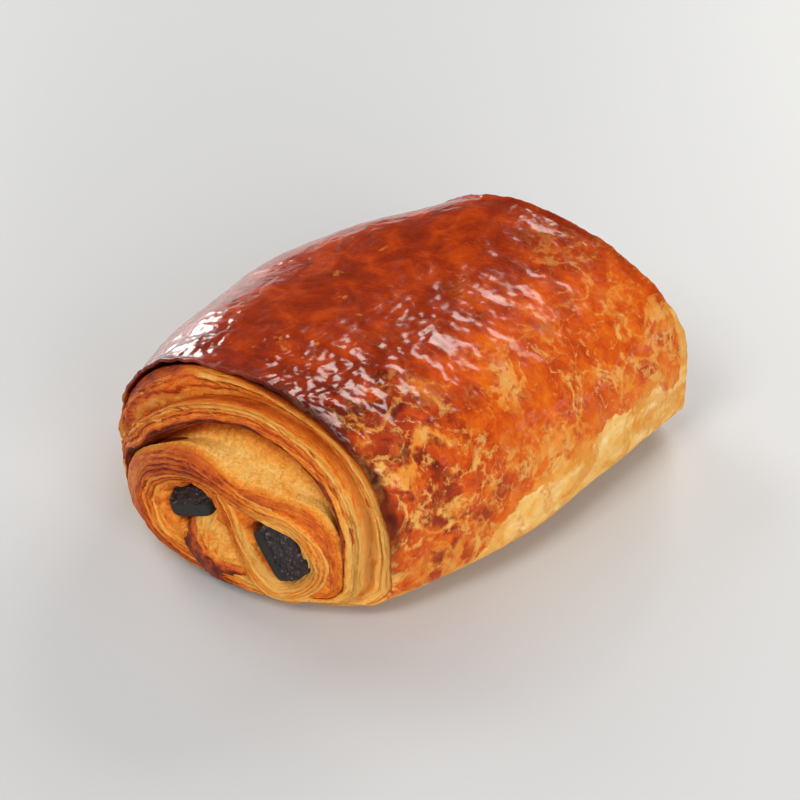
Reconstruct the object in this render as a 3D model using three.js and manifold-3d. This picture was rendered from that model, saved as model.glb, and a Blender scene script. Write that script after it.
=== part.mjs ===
// Pain au chocolat: a sheet of laminated dough rolled round two chocolate batons.
// The baked crust wraps the long sides, and the roll shows as a scroll at both ends.
// Millimetres, +Z up. The batons run along Y, the front scroll faces -Y, and z = 0 is the table.

import * as THREE from 'three';
import Module from 'manifold-3d';

const wasm = await Module();
wasm.setup();

// Driving dimensions of the crust
const LENGTH = 106.9; // from the nose of one scroll to the nose of the other
const WIDTH = { front: 70, middle: 91, back: 75 };
const HEIGHT = { front: 45.5, middle: 42, back: 42.5 };
const WAIST_Z = 9.5; // height of the widest line
const SAG = 0.8; // how far the dough would sink without the table, which sets the width of the flat base
const ROUND_TOP = 2.4; // superellipse powers of the section, 2 being an ellipse
const ROUND_BASE = 2.6;
const TAPER_POWER = 1.8; // how late the width and height change towards the ends
const CROWN_SHIFT = 3.8; // the crown leans to the right of the base
const DRIFT = 8.5; // the back end is set to the right of the front end

// How far the rim of the crust lies behind the nose of each scroll
const NOSE = { front: 16, back: 6 };
const RIM_LEAN = { front: 4.5, back: 4 }; // change of that distance from the base to RIM_HEIGHT
const RIM_HEIGHT = 44;
const NOSE_UNDER = 0.15; // share of the nose left at the base
const TOE_LIFT = { front: 4, back: 3 }; // the ends curl up off the table by this much
const TOE_START = 0.72; // where along the half length the curl begins and would end
const TOE_END = 1.05;
const DOME_POWER = 2.2;
const EYE = { x: -4, z: 11 }; // centre of the front scroll; the back one is moved by DRIFT

// Broad swells of the crust: waves round the section, change along the length, and phase
const LUMP = 0.28; // height of each
const SWELLS = [{ around: 3, slant: 0.045, phase: 0.6 }, { around: 5, slant: -0.07, phase: 2.1 },
  { around: 2, slant: 0.11, phase: 0 }];
const SWELL_START = 0.3; // the base is level, so the swells begin this far under the waist

// Heights of the scroll's bands above the plain dome of the end face
const LIP_STEP = 2; // the crust's edge stands this far over the first layers
const OUTER_BAND = -0.7;
const GROOVE_DEPTH = 3.2;
const MIDDLE_BAND = 0.6;
const CRUMB_DEPTH = 3.8;
const SCROLL_RISE = 0.8;
const FRAY = 0.012; // unevenness of the bands' edges, as a share of the radius
const LIP = 0.018; // thickness of the crust's edge, as a share of the radius
const LEFT_SIDE = 200; // angle at which the bands crowd together and flatten
const LEAST_RELIEF = 0.35;

// Where the bands lie: pairs of the angle round the eye in degrees and the share of the way to the rim
const GROOVE_AT = [[-90, 0.93], [-10, 0.88], [20, 0.9], [62, 0.91], [80, 0.87], [104, 0.8], [130, 0.76],
  [152, 0.8], [178, 0.92], [230, 0.95]];
const MIDDLE_AT = [[-90, 0.88], [-9, 0.81], [37, 0.82], [70, 0.8], [82, 0.76], [108, 0.67], [130, 0.65],
  [150, 0.67], [170, 0.77], [230, 0.9]];
const CRUMB_AT = [[-90, 0.82], [-13, 0.78], [15, 0.75], [30, 0.69], [39, 0.58], [57, 0.48], [84, 0.53],
  [126, 0.54], [150, 0.6], [178, 0.71], [230, 0.85]];

// The inner turn of the sheet, as it shows on the end face: x, z and half its width.
// It starts between the batons, runs under and round the right one, over both, and back under the left one.
const TURN = [[7, 20.5, 1.5], [10.8, 12.8, 1.6], [14.5, 5.9, 2.8], [21, 6.8, 2.9], [24, 13, 2.4],
  [20, 22.3, 2.7], [8, 24.3, 2.4], [-5, 26.3, 2.8], [-15, 21.5, 3.2], [-19.5, 13, 3.4], [-14, 7.6, 2.7],
  [-3, 6.3, 2.1], [7.5, 6.8, 1.8]];
const TURN_STATIONS = 44;
const TURN_SIDES = 8;
const TURN_POWER = 2.6; // superellipse power of its section
const TURN_RISE = 1.5;
const TURN_ROOT = 4; // how far it reaches into the dough
// The lobe of crumb that swells out between the batons
const LOBE = { x: 2.9, z: 13.7, long: 8.2, short: 6.2, deep: 5, turn: -40 };
const LOBE_SINK = 3.5;

// The two batons of chocolate: place of the axis on the front scroll, and turn of the section
const BATONS = {
  baton_left: { x: -4.8, z: 17.6, turn: 26 },
  baton_right: { x: 16.2, z: 15.8, turn: -55 },
};
const BATON = { wide: 13, thick: 6.5, power: 4.5, sides: 20 };
const BATON_END = { front: 52.4, back: 51.2, chisel: 2.4, ridge: 0.22, narrow: 0.86 };
const BORE_GAP = 0.3;
const POCKET = { long: 8.3, short: 5.2, deep: 5.6 }; // hollow in the dough round each baton's end
const EGG_ROWS = 7;
const EGG_SIDES = 18;

// Fineness of the dough's skin
const COLUMNS = 64;
const CRUST_ROWS = 13;
const RIM_SAMPLES = 180;

const rad = THREE.MathUtils.degToRad;
const lerp = THREE.MathUtils.lerp;
const smoothstep = THREE.MathUtils.smoothstep;

const rounded = (value, power) => Math.sign(value) * Math.abs(value) ** (2 / power);

// Evenly spaced angles once round a ring
const ringAngles = (count) => Array.from({ length: count }, (_, j) => (j / count) * 2 * Math.PI);

// A point turned about the Y axis, from +X towards +Z, by an angle in degrees
function turned(x, y, z, degrees) {
  return new THREE.Vector3(x, y, z).applyAxisAngle(new THREE.Vector3(0, 1, 0), -rad(degrees));
}

// The value of a dimension at t, which runs from -1 at the front rim to 1 at the back rim
function along(size, t) {
  const end = t < 0 ? size.front : size.back;
  return size.middle + (end - size.middle) * Math.abs(t) ** TAPER_POWER;
}

// How high the underside stands off the table at t
function toeLift(t) {
  const lift = t < 0 ? TOE_LIFT.front : TOE_LIFT.back;
  return lift * smoothstep(Math.abs(t), TOE_START, TOE_END);
}

// Height of the swells of the baked surface
function swell(angle, y) {
  const waves = SWELLS.map(({ around, slant, phase }) => Math.sin(around * angle + slant * y + phase));
  return LUMP * waves.reduce((sum, wave) => sum + wave, 0);
}

// Point of the crust at a section angle and t
function crustPoint(angle, t) {
  const cos = Math.cos(angle);
  const sin = Math.sin(angle);
  const half = along(WIDTH, t) / 2;
  const high = along(HEIGHT, t);
  const shift = t > 0 ? DRIFT * t ** TAPER_POWER : 0;
  let x = half * rounded(cos, sin > 0 ? ROUND_TOP : ROUND_BASE) + shift + CROWN_SHIFT * Math.max(sin, 0);
  let z = WAIST_Z + (high - WAIST_Z) * rounded(Math.max(sin, 0), ROUND_TOP);
  if (sin < 0) {
    z = Math.max(toeLift(t), WAIST_Z - (WAIST_Z + SAG) * Math.abs(sin) ** (2 / ROUND_BASE));
  }
  const under = 1 - (1 - NOSE_UNDER) * Math.max(-sin, 0) ** 2;
  const front = -LENGTH / 2 + NOSE.front * under - RIM_LEAN.front * (z / RIM_HEIGHT);
  const back = LENGTH / 2 - NOSE.back * under - RIM_LEAN.back * (z / RIM_HEIGHT);
  const y = lerp(front, back, (t + 1) / 2);
  const lump = swell(angle, y) * Math.max(sin + SWELL_START, 0);
  x += lump * cos;
  z += lump * Math.max(sin, 0);
  return new THREE.Vector3(x, y, z);
}

// Value at an angle in degrees on the smooth curve through the pairs of a list that goes once round the eye
function roundEye(pairs, degrees) {
  const start = pairs[0][0];
  const turn = ((((degrees - start) % 360) + 360) % 360) + start;
  const pairAt = (index) => {
    const lap = Math.floor(index / pairs.length);
    const [angle, value] = pairs[index - lap * pairs.length];
    return [angle + 360 * lap, value];
  };
  const low = pairs.findLastIndex((pair) => pair[0] <= turn);
  const [before, from, to, after] = [-1, 0, 1, 2].map((step) => pairAt(low + step));
  const gap = to[0] - from[0];
  const u = (turn - from[0]) / gap;
  const slopeFrom = ((to[1] - before[1]) / (to[0] - before[0])) * gap;
  const slopeTo = ((after[1] - from[1]) / (after[0] - from[0])) * gap;
  const straight = from[1] * (1 + 2 * u) * (1 - u) ** 2 + to[1] * u ** 2 * (3 - 2 * u);
  return straight + slopeFrom * u * (1 - u) ** 2 - slopeTo * u ** 2 * (1 - u);
}

// An end of the pastry: its eye, its nose and the way it faces
function endOf(side) {
  const front = side === 'front';
  return {
    t: front ? -1 : 1,
    eye: new THREE.Vector3(EYE.x + (front ? 0 : DRIFT), (front ? -1 : 1) * (LENGTH / 2), EYE.z),
    facing: front ? -1 : 1,
    shift: front ? 0 : DRIFT,
  };
}

// Point of the plain dome on the line from the eye to a rim point, pushed out along its normal
function domePoint(end, rim, share, push) {
  const across = new THREE.Vector3(rim.x - end.eye.x, 0, rim.z - end.eye.z);
  const depth = rim.y - end.eye.y;
  const radius = across.length();
  const point = end.eye.clone().addScaledVector(across, share);
  point.y += depth * share ** DOME_POWER;
  const slope = (DOME_POWER * Math.abs(depth) * share ** (DOME_POWER - 1)) / radius;
  const normal = across.clone().divideScalar(radius).multiplyScalar(slope);
  normal.y = end.facing;
  return point.addScaledVector(normal.normalize(), push);
}

// Radii and heights of the bands along one line from the rim to the eye
function bandSteps(degrees) {
  const away = Math.abs(((degrees - LEFT_SIDE + 540) % 360) - 180);
  const relief = lerp(LEAST_RELIEF, 1, smoothstep(away, 20, 70));
  const fray = FRAY * (Math.sin(rad(11 * degrees)) + Math.sin(rad(7 * degrees + 40)));
  const groove = roundEye(GROOVE_AT, degrees) + fray;
  const middle = roundEye(MIDDLE_AT, degrees) - fray / 2;
  const crumb = roundEye(CRUMB_AT, degrees) + fray / 2;
  return [
    [1 - LIP, -LIP_STEP * relief],
    [lerp(groove, 1, 0.55), OUTER_BAND * relief],
    [lerp(groove, 1, 0.15), -GROOVE_DEPTH * relief],
    [groove - 0.025, MIDDLE_BAND * relief],
    [middle + 0.005, 0.1],
    [middle - 0.035, -CRUMB_DEPTH * relief],
    [lerp(middle, crumb, 0.55), -CRUMB_DEPTH * 0.7 * relief],
    [crumb + 0.03, -0.4],
    [crumb - 0.02, SCROLL_RISE],
    [crumb * 0.66, 0],
    [crumb * 0.33, -0.4],
  ];
}

// A closed skin over rings of points that go from front to back, with a point at each end
function closedSkin(rings, start, finish) {
  const points = [start, ...rings.flat(), finish];
  const sides = rings[0].length;
  const last = points.length - 1;
  const faces = [];
  for (let j = 0; j < sides; j += 1) {
    const next = (j + 1) % sides;
    faces.push(0, 1 + j, 1 + next);
    for (let i = 0; i < rings.length - 1; i += 1) {
      const row = 1 + i * sides;
      faces.push(row + j, row + sides + j, row + next);
      faces.push(row + next, row + sides + j, row + sides + next);
    }
    faces.push(last, last - sides + next, last - sides + j);
  }
  const geometry = new THREE.BufferGeometry().setFromPoints(points);
  geometry.setIndex(faces);
  return geometry;
}

function solidOf(geometry) {
  const mesh = new wasm.Mesh({
    numProp: 3,
    vertProperties: new Float32Array(geometry.getAttribute('position').array),
    triVerts: new Uint32Array(geometry.getIndex().array),
  });
  return new wasm.Manifold(mesh);
}

function geometryOf(solid) {
  const mesh = solid.getMesh();
  const geometry = new THREE.BufferGeometry();
  geometry.setAttribute('position', new THREE.BufferAttribute(mesh.vertProperties, 3));
  geometry.setIndex(new THREE.BufferAttribute(mesh.triVerts, 1));
  geometry.computeVertexNormals();
  return geometry;
}

// Rings of one end face, from the eye outwards
function endRings(end) {
  const columns = [];
  for (const angle of ringAngles(COLUMNS)) {
    const rim = crustPoint(angle, end.t);
    const degrees = THREE.MathUtils.radToDeg(Math.atan2(rim.z - end.eye.z, rim.x - end.eye.x));
    columns.push(bandSteps(degrees).map(([share, push]) => domePoint(end, rim, share, push)));
  }
  const count = columns[0].length;
  return Array.from({ length: count }, (_, i) => columns.map((column) => column[count - 1 - i]));
}

// The dough without its inner turn: end face, crust and end face in one skin
function doughSkin() {
  const crust = [];
  for (let i = 0; i < CRUST_ROWS; i += 1) {
    const t = Math.sin(lerp(-Math.PI / 2, Math.PI / 2, i / (CRUST_ROWS - 1)));
    crust.push(ringAngles(COLUMNS).map((angle) => crustPoint(angle, t)));
  }
  const front = endOf('front');
  const back = endOf('back');
  const rings = [...endRings(front), ...crust, ...endRings(back).reverse()];
  return closedSkin(rings, front.eye, back.eye);
}

// A function that gives the plain dome's y at x, z, from the rim's outline
function faceDepth(end) {
  const rim = ringAngles(RIM_SAMPLES).map((angle) => crustPoint(angle, end.t));
  return (x, z) => {
    const way = Math.atan2(z - end.eye.z, x - end.eye.x);
    const miss = (point) => {
      const turn = Math.atan2(point.z - end.eye.z, point.x - end.eye.x) - way;
      return Math.abs(Math.atan2(Math.sin(turn), Math.cos(turn)));
    };
    const near = rim.reduce((best, point) => (miss(point) < miss(best) ? point : best));
    const radius = Math.hypot(near.x - end.eye.x, near.z - end.eye.z);
    const share = Math.hypot(x - end.eye.x, z - end.eye.z) / radius;
    return end.eye.y + (near.y - end.eye.y) * Math.min(share, 1) ** DOME_POWER;
  };
}

// The inner turn of the sheet, raised on an end face
function innerTurn(end) {
  const depthAt = faceDepth(end);
  const route = new THREE.CatmullRomCurve3(
    TURN.map(([x, z, half]) => new THREE.Vector3(x + end.shift, z, half)),
    false,
    'centripetal',
  );
  const out = new THREE.Vector3(0, end.facing, 0);
  const rings = [];
  for (let i = 0; i < TURN_STATIONS; i += 1) {
    const u = i / (TURN_STATIONS - 1);
    const at = route.getPointAt(u);
    const way = route.getTangentAt(u);
    const ahead = new THREE.Vector3(way.x, 0, way.y).normalize();
    const aside = ahead.clone().cross(out);
    const top = depthAt(at.x, at.y) + end.facing * TURN_RISE;
    const middle = new THREE.Vector3(at.x, top - end.facing * TURN_ROOT, at.y);
    rings.push(ringAngles(TURN_SIDES).map((angle) => middle.clone()
      .addScaledVector(aside, at.z * rounded(Math.cos(angle), TURN_POWER))
      .addScaledVector(out, TURN_ROOT * rounded(Math.sin(angle), TURN_POWER))));
  }
  const ends = [rings[0], rings[TURN_STATIONS - 1]];
  const [start, finish] = ends.map((ring) => ring[0].clone().lerp(ring[TURN_SIDES / 2], 0.5));
  return closedSkin(rings, start, finish);
}

// An egg shape on an end face, turned about Y and sunk into the face by a distance
function egg(end, x, z, size, turn, sink) {
  const rings = [];
  const depth = faceDepth(end)(x + end.shift, z) - end.facing * sink;
  const centre = new THREE.Vector3(x + end.shift, depth, z);
  for (let i = 1; i < EGG_ROWS; i += 1) {
    const slope = (i / EGG_ROWS) * Math.PI;
    const wide = size.long * Math.sin(slope);
    const high = size.short * Math.sin(slope);
    rings.push(ringAngles(EGG_SIDES).map((angle) => (
      turned(wide * Math.cos(angle), -size.deep * Math.cos(slope), high * Math.sin(angle), turn).add(centre)
    )));
  }
  const pole = new THREE.Vector3(0, size.deep, 0);
  return closedSkin(rings, centre.clone().sub(pole), centre.clone().add(pole));
}

// A baton with chisel-shaped ends, or its bore when grown by the gap
function batonSkin({ x, z, turn }, grow) {
  const long = BATON.wide / 2 + grow;
  const short = BATON.thick / 2 + grow;
  const front = -BATON_END.front - grow;
  const back = BATON_END.back + grow;
  const stations = [
    [front, BATON_END.ridge, BATON_END.narrow],
    [front + BATON_END.chisel, 1, 1],
    [back - BATON_END.chisel, 1, 1],
    [back, BATON_END.ridge, BATON_END.narrow],
  ];
  const axisX = (y) => x + DRIFT * ((y + LENGTH / 2) / LENGTH);
  const rings = stations.map(([y, thin, narrow]) => ringAngles(BATON.sides).map((angle) => {
    const wide = long * narrow * rounded(Math.cos(angle), BATON.power);
    const high = short * thin * rounded(Math.sin(angle), BATON.power);
    return turned(wide, 0, high, turn).add(new THREE.Vector3(axisX(y), y, z));
  }));
  const start = new THREE.Vector3(axisX(front), front, z);
  const finish = new THREE.Vector3(axisX(back), back, z);
  return closedSkin(rings, start, finish);
}

function doughSolid() {
  const places = Object.values(BATONS);
  let dough = solidOf(doughSkin());
  for (const side of ['front', 'back']) {
    const end = endOf(side);
    for (const { x, z, turn } of places) {
      dough = dough.subtract(solidOf(egg(end, x, z, POCKET, turn, 0)));
    }
    dough = dough.add(solidOf(innerTurn(end)));
    dough = dough.add(solidOf(egg(end, LOBE.x, LOBE.z, LOBE, LOBE.turn, LOBE_SINK)));
  }
  for (const place of places) {
    dough = dough.subtract(solidOf(batonSkin(place, BORE_GAP)));
  }
  return dough;
}

const DOUGH_FINISH = new THREE.MeshStandardMaterial({ color: '#c27832', roughness: 0.45, metalness: 0 });
const CHOCOLATE_FINISH = new THREE.MeshStandardMaterial({ color: '#33282a', roughness: 0.5, metalness: 0 });

function namedMesh(name, geometry, material) {
  const mesh = new THREE.Mesh(geometry, material);
  mesh.name = name;
  return mesh;
}

const pastry = new THREE.Group();
pastry.add(namedMesh('dough', geometryOf(doughSolid()), DOUGH_FINISH));
for (const [name, place] of Object.entries(BATONS)) {
  pastry.add(namedMesh(name, geometryOf(solidOf(batonSkin(place, 0))), CHOCOLATE_FINISH));
}

// The origin is the middle of the base
const bounds = new THREE.Box3().setFromObject(pastry);
const middle = bounds.getCenter(new THREE.Vector3());
pastry.position.set(-middle.x, -middle.y, -bounds.min.z);
pastry.updateMatrixWorld(true);

export default pastry;
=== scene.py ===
# %% [markdown]
# # Pain au chocolat
# A sheet of laminated dough is rolled round two batons of chocolate, washed with egg and baked.
# The crust is one smooth, glossy barrel, and the roll shows at both ends as a scroll of thin layers.
# The construction model gives the size and place of everything: the dough with both scrolls, and the
# batons. The steps here make the fine surfaces over it. Every shape is a formula, worked out for whole
# arrays at once.

# %% Load the construction model
import itertools
import math

import bpy
import numpy as np
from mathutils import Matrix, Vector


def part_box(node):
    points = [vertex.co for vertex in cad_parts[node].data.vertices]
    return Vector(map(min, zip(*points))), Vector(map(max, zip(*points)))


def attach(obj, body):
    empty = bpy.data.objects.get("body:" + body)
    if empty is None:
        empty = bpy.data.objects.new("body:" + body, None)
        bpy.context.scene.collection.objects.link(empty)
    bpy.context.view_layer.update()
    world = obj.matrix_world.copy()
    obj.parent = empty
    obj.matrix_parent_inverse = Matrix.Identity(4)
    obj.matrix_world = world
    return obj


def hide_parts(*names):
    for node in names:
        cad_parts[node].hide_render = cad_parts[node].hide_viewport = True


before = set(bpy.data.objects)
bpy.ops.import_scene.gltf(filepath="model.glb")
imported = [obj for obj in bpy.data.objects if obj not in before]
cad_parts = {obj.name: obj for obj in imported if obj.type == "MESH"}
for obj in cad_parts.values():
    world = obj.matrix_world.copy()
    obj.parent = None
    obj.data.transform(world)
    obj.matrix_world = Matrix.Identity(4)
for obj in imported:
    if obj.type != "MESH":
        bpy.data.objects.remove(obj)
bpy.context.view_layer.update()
MM = 0.001

# %% [markdown]
# ## Sizes
# The barrel of dough is wider in the middle than at its ends, flat below and arched above.
# A superellipse with one power for the arch and one for the underside gives that section, and the section
# changes slowly along the length. The same few sizes drive the construction model, in millimetres.
#
# WAIST_Z is the height of the widest line, and SAG is how far the underside would bulge below the table if
# it weren't pressed flat. DRIFT moves the back end to the right, and CROWN_SHIFT the crown. At each end the
# nose of the scroll stands out of the rim by NOSE, of which NOSE_UNDER is left at the bottom. The rims lean
# to the front by RIM_LEAN at RIM_HEIGHT, and the underside lifts off the table by TOE_LIFT. The eye is the
# middle of the scroll. A few broad swells, sines round the section and along the roll, keep it from being
# too even. A baton's end is a blunt chisel: CHISEL long, with RIDGE of the thickness and NARROW of the width
# left at the tip.

# %% Sizes of the pastry in millimetres
LENGTH = 106.9
WIDTH = {"front": 70.0, "middle": 91.0, "back": 75.0}
HEIGHT = {"front": 45.5, "middle": 42.0, "back": 42.5}
WAIST_Z = 9.5
SAG = 0.8
ROUND_TOP = 2.4
ROUND_BASE = 2.6
TAPER_POWER = 1.8
CROWN_SHIFT = 3.8
DRIFT = 8.5
NOSE = {"front": 16.0, "back": 6.0}
RIM_LEAN = {"front": 4.5, "back": 4.0}
RIM_HEIGHT = 44.0
NOSE_UNDER = 0.15
TOE_LIFT = {"front": 4.0, "back": 3.0}
TOE_START, TOE_END = 0.72, 1.05
DOME_POWER = 2.2
EYE_X, EYE_Z = -4.0, 11.0
LUMP = 0.28
SWELLS = [(3, 0.045, 0.6), (5, -0.07, 2.1), (2, 0.11, 0.0)]  # waves round, slant per mm, phase
SWELL_START = 0.3
BATONS = {
    "baton_left": {"x": -4.8, "z": 17.6, "turn": 26.0},
    "baton_right": {"x": 16.2, "z": 15.8, "turn": -55.0},
}
BATON_WIDE, BATON_THICK, BATON_POWER = 13.0, 6.5, 4.5
BATON_FRONT, BATON_BACK = 52.4, 51.2
CHISEL, RIDGE, NARROW = 2.4, 0.22, 0.86


def baton_axis_x(baton, y):
    """x of a baton's axis: its place on the front scroll plus the drift's share of the length behind it."""
    return baton["x"] + DRIFT * (y + LENGTH / 2) / LENGTH


low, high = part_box("baton_left")
middle_y = (BATON_BACK - BATON_FRONT) / 2
SHIFT = np.array([
    (low[0] + high[0]) / 2 / MM - baton_axis_x(BATONS["baton_left"], middle_y),
    low[1] / MM + BATON_FRONT,
    0.0,
])
print("the sizes are centred on the base by a shift of", SHIFT.round(2), "mm")

# %% [markdown]
# ## Camera
# The photograph looks down on the front scroll and the right flank from about an arm's length.
# A long lens keeps the sides nearly parallel. The camera is made first, so that each step can be looked at.

# %% Camera at the photograph's viewing angle
CAMERA_SIDE, CAMERA_UP = math.radians(38.0), math.radians(36.0)
CAMERA_DISTANCE = 528.0
CAMERA_ANGLE = math.radians(17.6)
SENSOR_WIDTH = 36.0
AIM = np.array([6.2, 0.0, 17.8])

scene = bpy.context.scene
to_camera = np.array([
    math.sin(CAMERA_SIDE) * math.cos(CAMERA_UP),
    -math.cos(CAMERA_SIDE) * math.cos(CAMERA_UP),
    math.sin(CAMERA_UP),
])
camera_data = bpy.data.cameras.new("camera")
camera_data.sensor_width = SENSOR_WIDTH
camera_data.lens = SENSOR_WIDTH / (2 * math.tan(CAMERA_ANGLE / 2))
camera = bpy.data.objects.new("camera", camera_data)
camera.location = (AIM + SHIFT + CAMERA_DISTANCE * to_camera) * MM
camera.rotation_euler = (math.pi / 2 - CAMERA_UP, 0.0, CAMERA_SIDE)
scene.collection.objects.link(camera)
scene.camera = camera
print("camera at", [round(v, 3) for v in camera.location], "lens", round(camera_data.lens, 1), "mm")

# %% [markdown]
# ## Lamps
# A glossy crust shows what it mirrors, so each lamp is placed by the patch of gloss that it makes.
# A large softbox behind gives the broad sheen on the front shoulder, a backdrop low at the left gives the
# white gloss at the left end, and a small glint gives the sparkle on the right flank. Two fills, high in
# front and at the front right, light the scroll and the flank, and a window at the left lights the rest.
# A point lamp would make hard spots, so all six are area lamps.

# %% Six area lamps
LAMP_AIM = np.array([0.0, 0.0, 0.02])
WARM, WHITE = (1.0, 0.98, 0.94), (1.0, 0.99, 0.98)
LAMPS = {
    "window": {"place": (-0.85, 0.1, 0.66), "size": (0.4, 0.4), "power": 3.2, "colour": (1.0, 0.98, 0.96)},
    "softbox": {"place": (-0.13, 1.02, 0.57), "size": (0.8, 0.52), "power": 7.6, "colour": (1.0, 0.98, 0.93)},
    "backdrop": {"place": (-0.89, 0.42, 0.16), "size": (0.3, 0.3), "power": 2.4, "colour": WHITE},
    "right_fill": {"place": (0.8, -0.4, 0.42), "size": (0.5, 0.5), "power": 4.7, "colour": WHITE},
    "right_glint": {"place": (0.8, 0.62, 0.2), "size": (0.3, 0.14), "power": 0.3, "colour": WHITE},
    "front_fill": {"place": (0.02, -0.78, 0.98), "size": (0.45, 0.45), "power": 6.3, "colour": WARM},
}


def area_lamp(name, place, size, power, colour):
    """A rectangular lamp at a place in metres that shines at the pastry: tilted up by the angle whose
    tangent is the way's rise over its level length, and turned by that of its x over its y."""
    data = bpy.data.lights.new(name, "AREA")
    data.shape = "RECTANGLE"
    data.size, data.size_y = size
    data.energy = power
    data.color = colour
    lamp = bpy.data.objects.new(name, data)
    lamp.location = place
    way = LAMP_AIM - np.array(place)
    flat = math.hypot(way[0], way[1])
    lamp.rotation_euler = (math.pi / 2 + math.atan2(way[2], flat), 0.0, math.atan2(-way[0], way[1]))
    scene.collection.objects.link(lamp)
    return lamp


for lamp_name, lamp_values in LAMPS.items():
    area_lamp(lamp_name, **lamp_values)
print("lamps:", {name: lamp["power"] for name, lamp in LAMPS.items()}, "watts")

# %% [markdown]
# ## Room and table
# The crown of the crust mirrors the upper left of the room behind it. With an even white room it would look
# milky. So the room is dark that way and softly white elsewhere, and the crown keeps its own red-brown. The
# table is one plain pale sheet that catches the shadow.

# %% Room light and table
DARK_WALL = (-0.62, 0.66, 0.42)
WALL_EDGE, WALL_HEART = 0.4, 0.85
ROOM_STRENGTH, WALL_STRENGTH = 0.28, 0.02
ROOM_COLOUR = (0.97, 0.98, 1.0, 1.0)
TABLE_HALF = 2.0

world = bpy.data.worlds.new("room_light")
world.use_nodes = True
sky = world.node_tree
toward = sky.nodes.new("ShaderNodeVectorMath")
toward.operation = "DOT_PRODUCT"
toward.inputs[1].default_value = DARK_WALL
brightness = sky.nodes.new("ShaderNodeMapRange")
for name, value in zip(("From Min", "From Max", "To Min", "To Max"),
                       (WALL_EDGE, WALL_HEART, ROOM_STRENGTH, WALL_STRENGTH)):
    brightness.inputs[name].default_value = value
sky.links.new(sky.nodes.new("ShaderNodeTexCoord").outputs["Generated"], toward.inputs[0])
sky.links.new(toward.outputs["Value"], brightness.inputs["Value"])
sky.links.new(brightness.outputs["Result"], sky.nodes["Background"].inputs["Strength"])
sky.nodes["Background"].inputs["Color"].default_value = ROOM_COLOUR
scene.world = world
scene.view_settings.view_transform = "Standard"

table_mesh = bpy.data.meshes.new("table")
corners = [(x * TABLE_HALF, y * TABLE_HALF, 0.0) for x, y in [(-1, -1), (1, -1), (1, 1), (-1, 1)]]
table_mesh.from_pydata(corners, [], [(0, 1, 2, 3)])
table = bpy.data.objects.new("table", table_mesh)
scene.collection.objects.link(table)
print("room strength", ROOM_STRENGTH, "and", WALL_STRENGTH, "at the dark wall")

# %% [markdown]
# ## Tools for fine surfaces
# Baked dough is never even. Gradient noise gives that unevenness: it is smooth, it has one size of lump,
# and layers of it at halved sizes give lumps on lumps. It is worked out here with numpy, from fixed random
# directions, so that the pastry is the same each time.

# %% Noise and smooth steps
rng = np.random.default_rng(7)
DIRECTIONS = rng.normal(size=(256, 3))
DIRECTIONS /= np.linalg.norm(DIRECTIONS, axis=1, keepdims=True)
HASH_PRIMES = (73856093, 19349663, 83492791)
LAYER_PRIMES = (7919, 104729)
SEED_SHIFT = 31.7
NOISE_GAIN = 1.6


def ease(x, low, high):
    """0 below low and 1 above high, with the cubic 3u^2 - 2u^3 between."""
    u = np.clip((x - low) / (high - low), 0, 1)
    return u * u * (3 - 2 * u)


def between(x, start, full, ebb, end):
    """1 from full to ebb and 0 outside start and end, eased on both sides."""
    return ease(x, start, full) * (1 - ease(x, ebb, end))


def lumps(x, y, z, size, seed):
    """Gradient noise from about -1 to 1 with lumps of a size: each corner of a cubic lattice has a random
    direction, its dot product with the way to the point is taken, and the eight corners are blended."""
    spot = np.stack(np.broadcast_arrays(x, y, z), -1) / size + SEED_SHIFT * seed
    cell = np.floor(spot).astype(np.int64)
    part = spot - cell
    fade = part ** 3 * (part * (6 * part - 15) + 10)
    total = np.zeros(part.shape[:-1])
    for corner in itertools.product((0, 1), repeat=3):
        key = sum((cell[..., k] + corner[k]) * HASH_PRIMES[k] for k in range(3))
        key = (key ^ (key >> 11)) & 255
        weight = np.prod([fade[..., k] if corner[k] else 1 - fade[..., k] for k in range(3)], axis=0)
        total += weight * np.einsum("...k,...k->...", DIRECTIONS[key], part - corner)
    return NOISE_GAIN * total


def crags(x, y, z, size, seed, octaves=3):
    """Lumps on lumps: each octave has half the size and half the height of the one before."""
    return sum(lumps(x, y, z, size / 2 ** k, seed + k) / 2 ** k for k in range(octaves))


def ridge(w):
    """Rounded ridges with sharp valleys at whole numbers: 1 - |2 frac(w) - 1| to the power 3."""
    return 1 - np.abs(2 * (w - np.floor(w)) - 1) ** 3


def sheet(w):
    """Overlapping sheets: each rises as its part of w to the power 1.6 and drops at once to the next."""
    part = w - np.floor(w)
    return part ** 1.6 * (1 - ease(part, 0.84, 1))


def layer_value(w, seed):
    """One fixed random number from 0 to 1 for each layer, the layer being the whole part of w."""
    key = (np.floor(w).astype(np.int64) * LAYER_PRIMES[0] + seed * LAYER_PRIMES[1]) & 255
    return (DIRECTIONS[key, 0] + 1) / 2


# %% [markdown]
# ## One way to make a mesh
# Each piece is a closed skin: rings of points that go from one end to the other, with a point at each end.
# The faces between two rings are always the same pattern, so one function serves every piece.
# It also stores numbers with the points, such as how brown the surface is, for the finishes to read.

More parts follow.
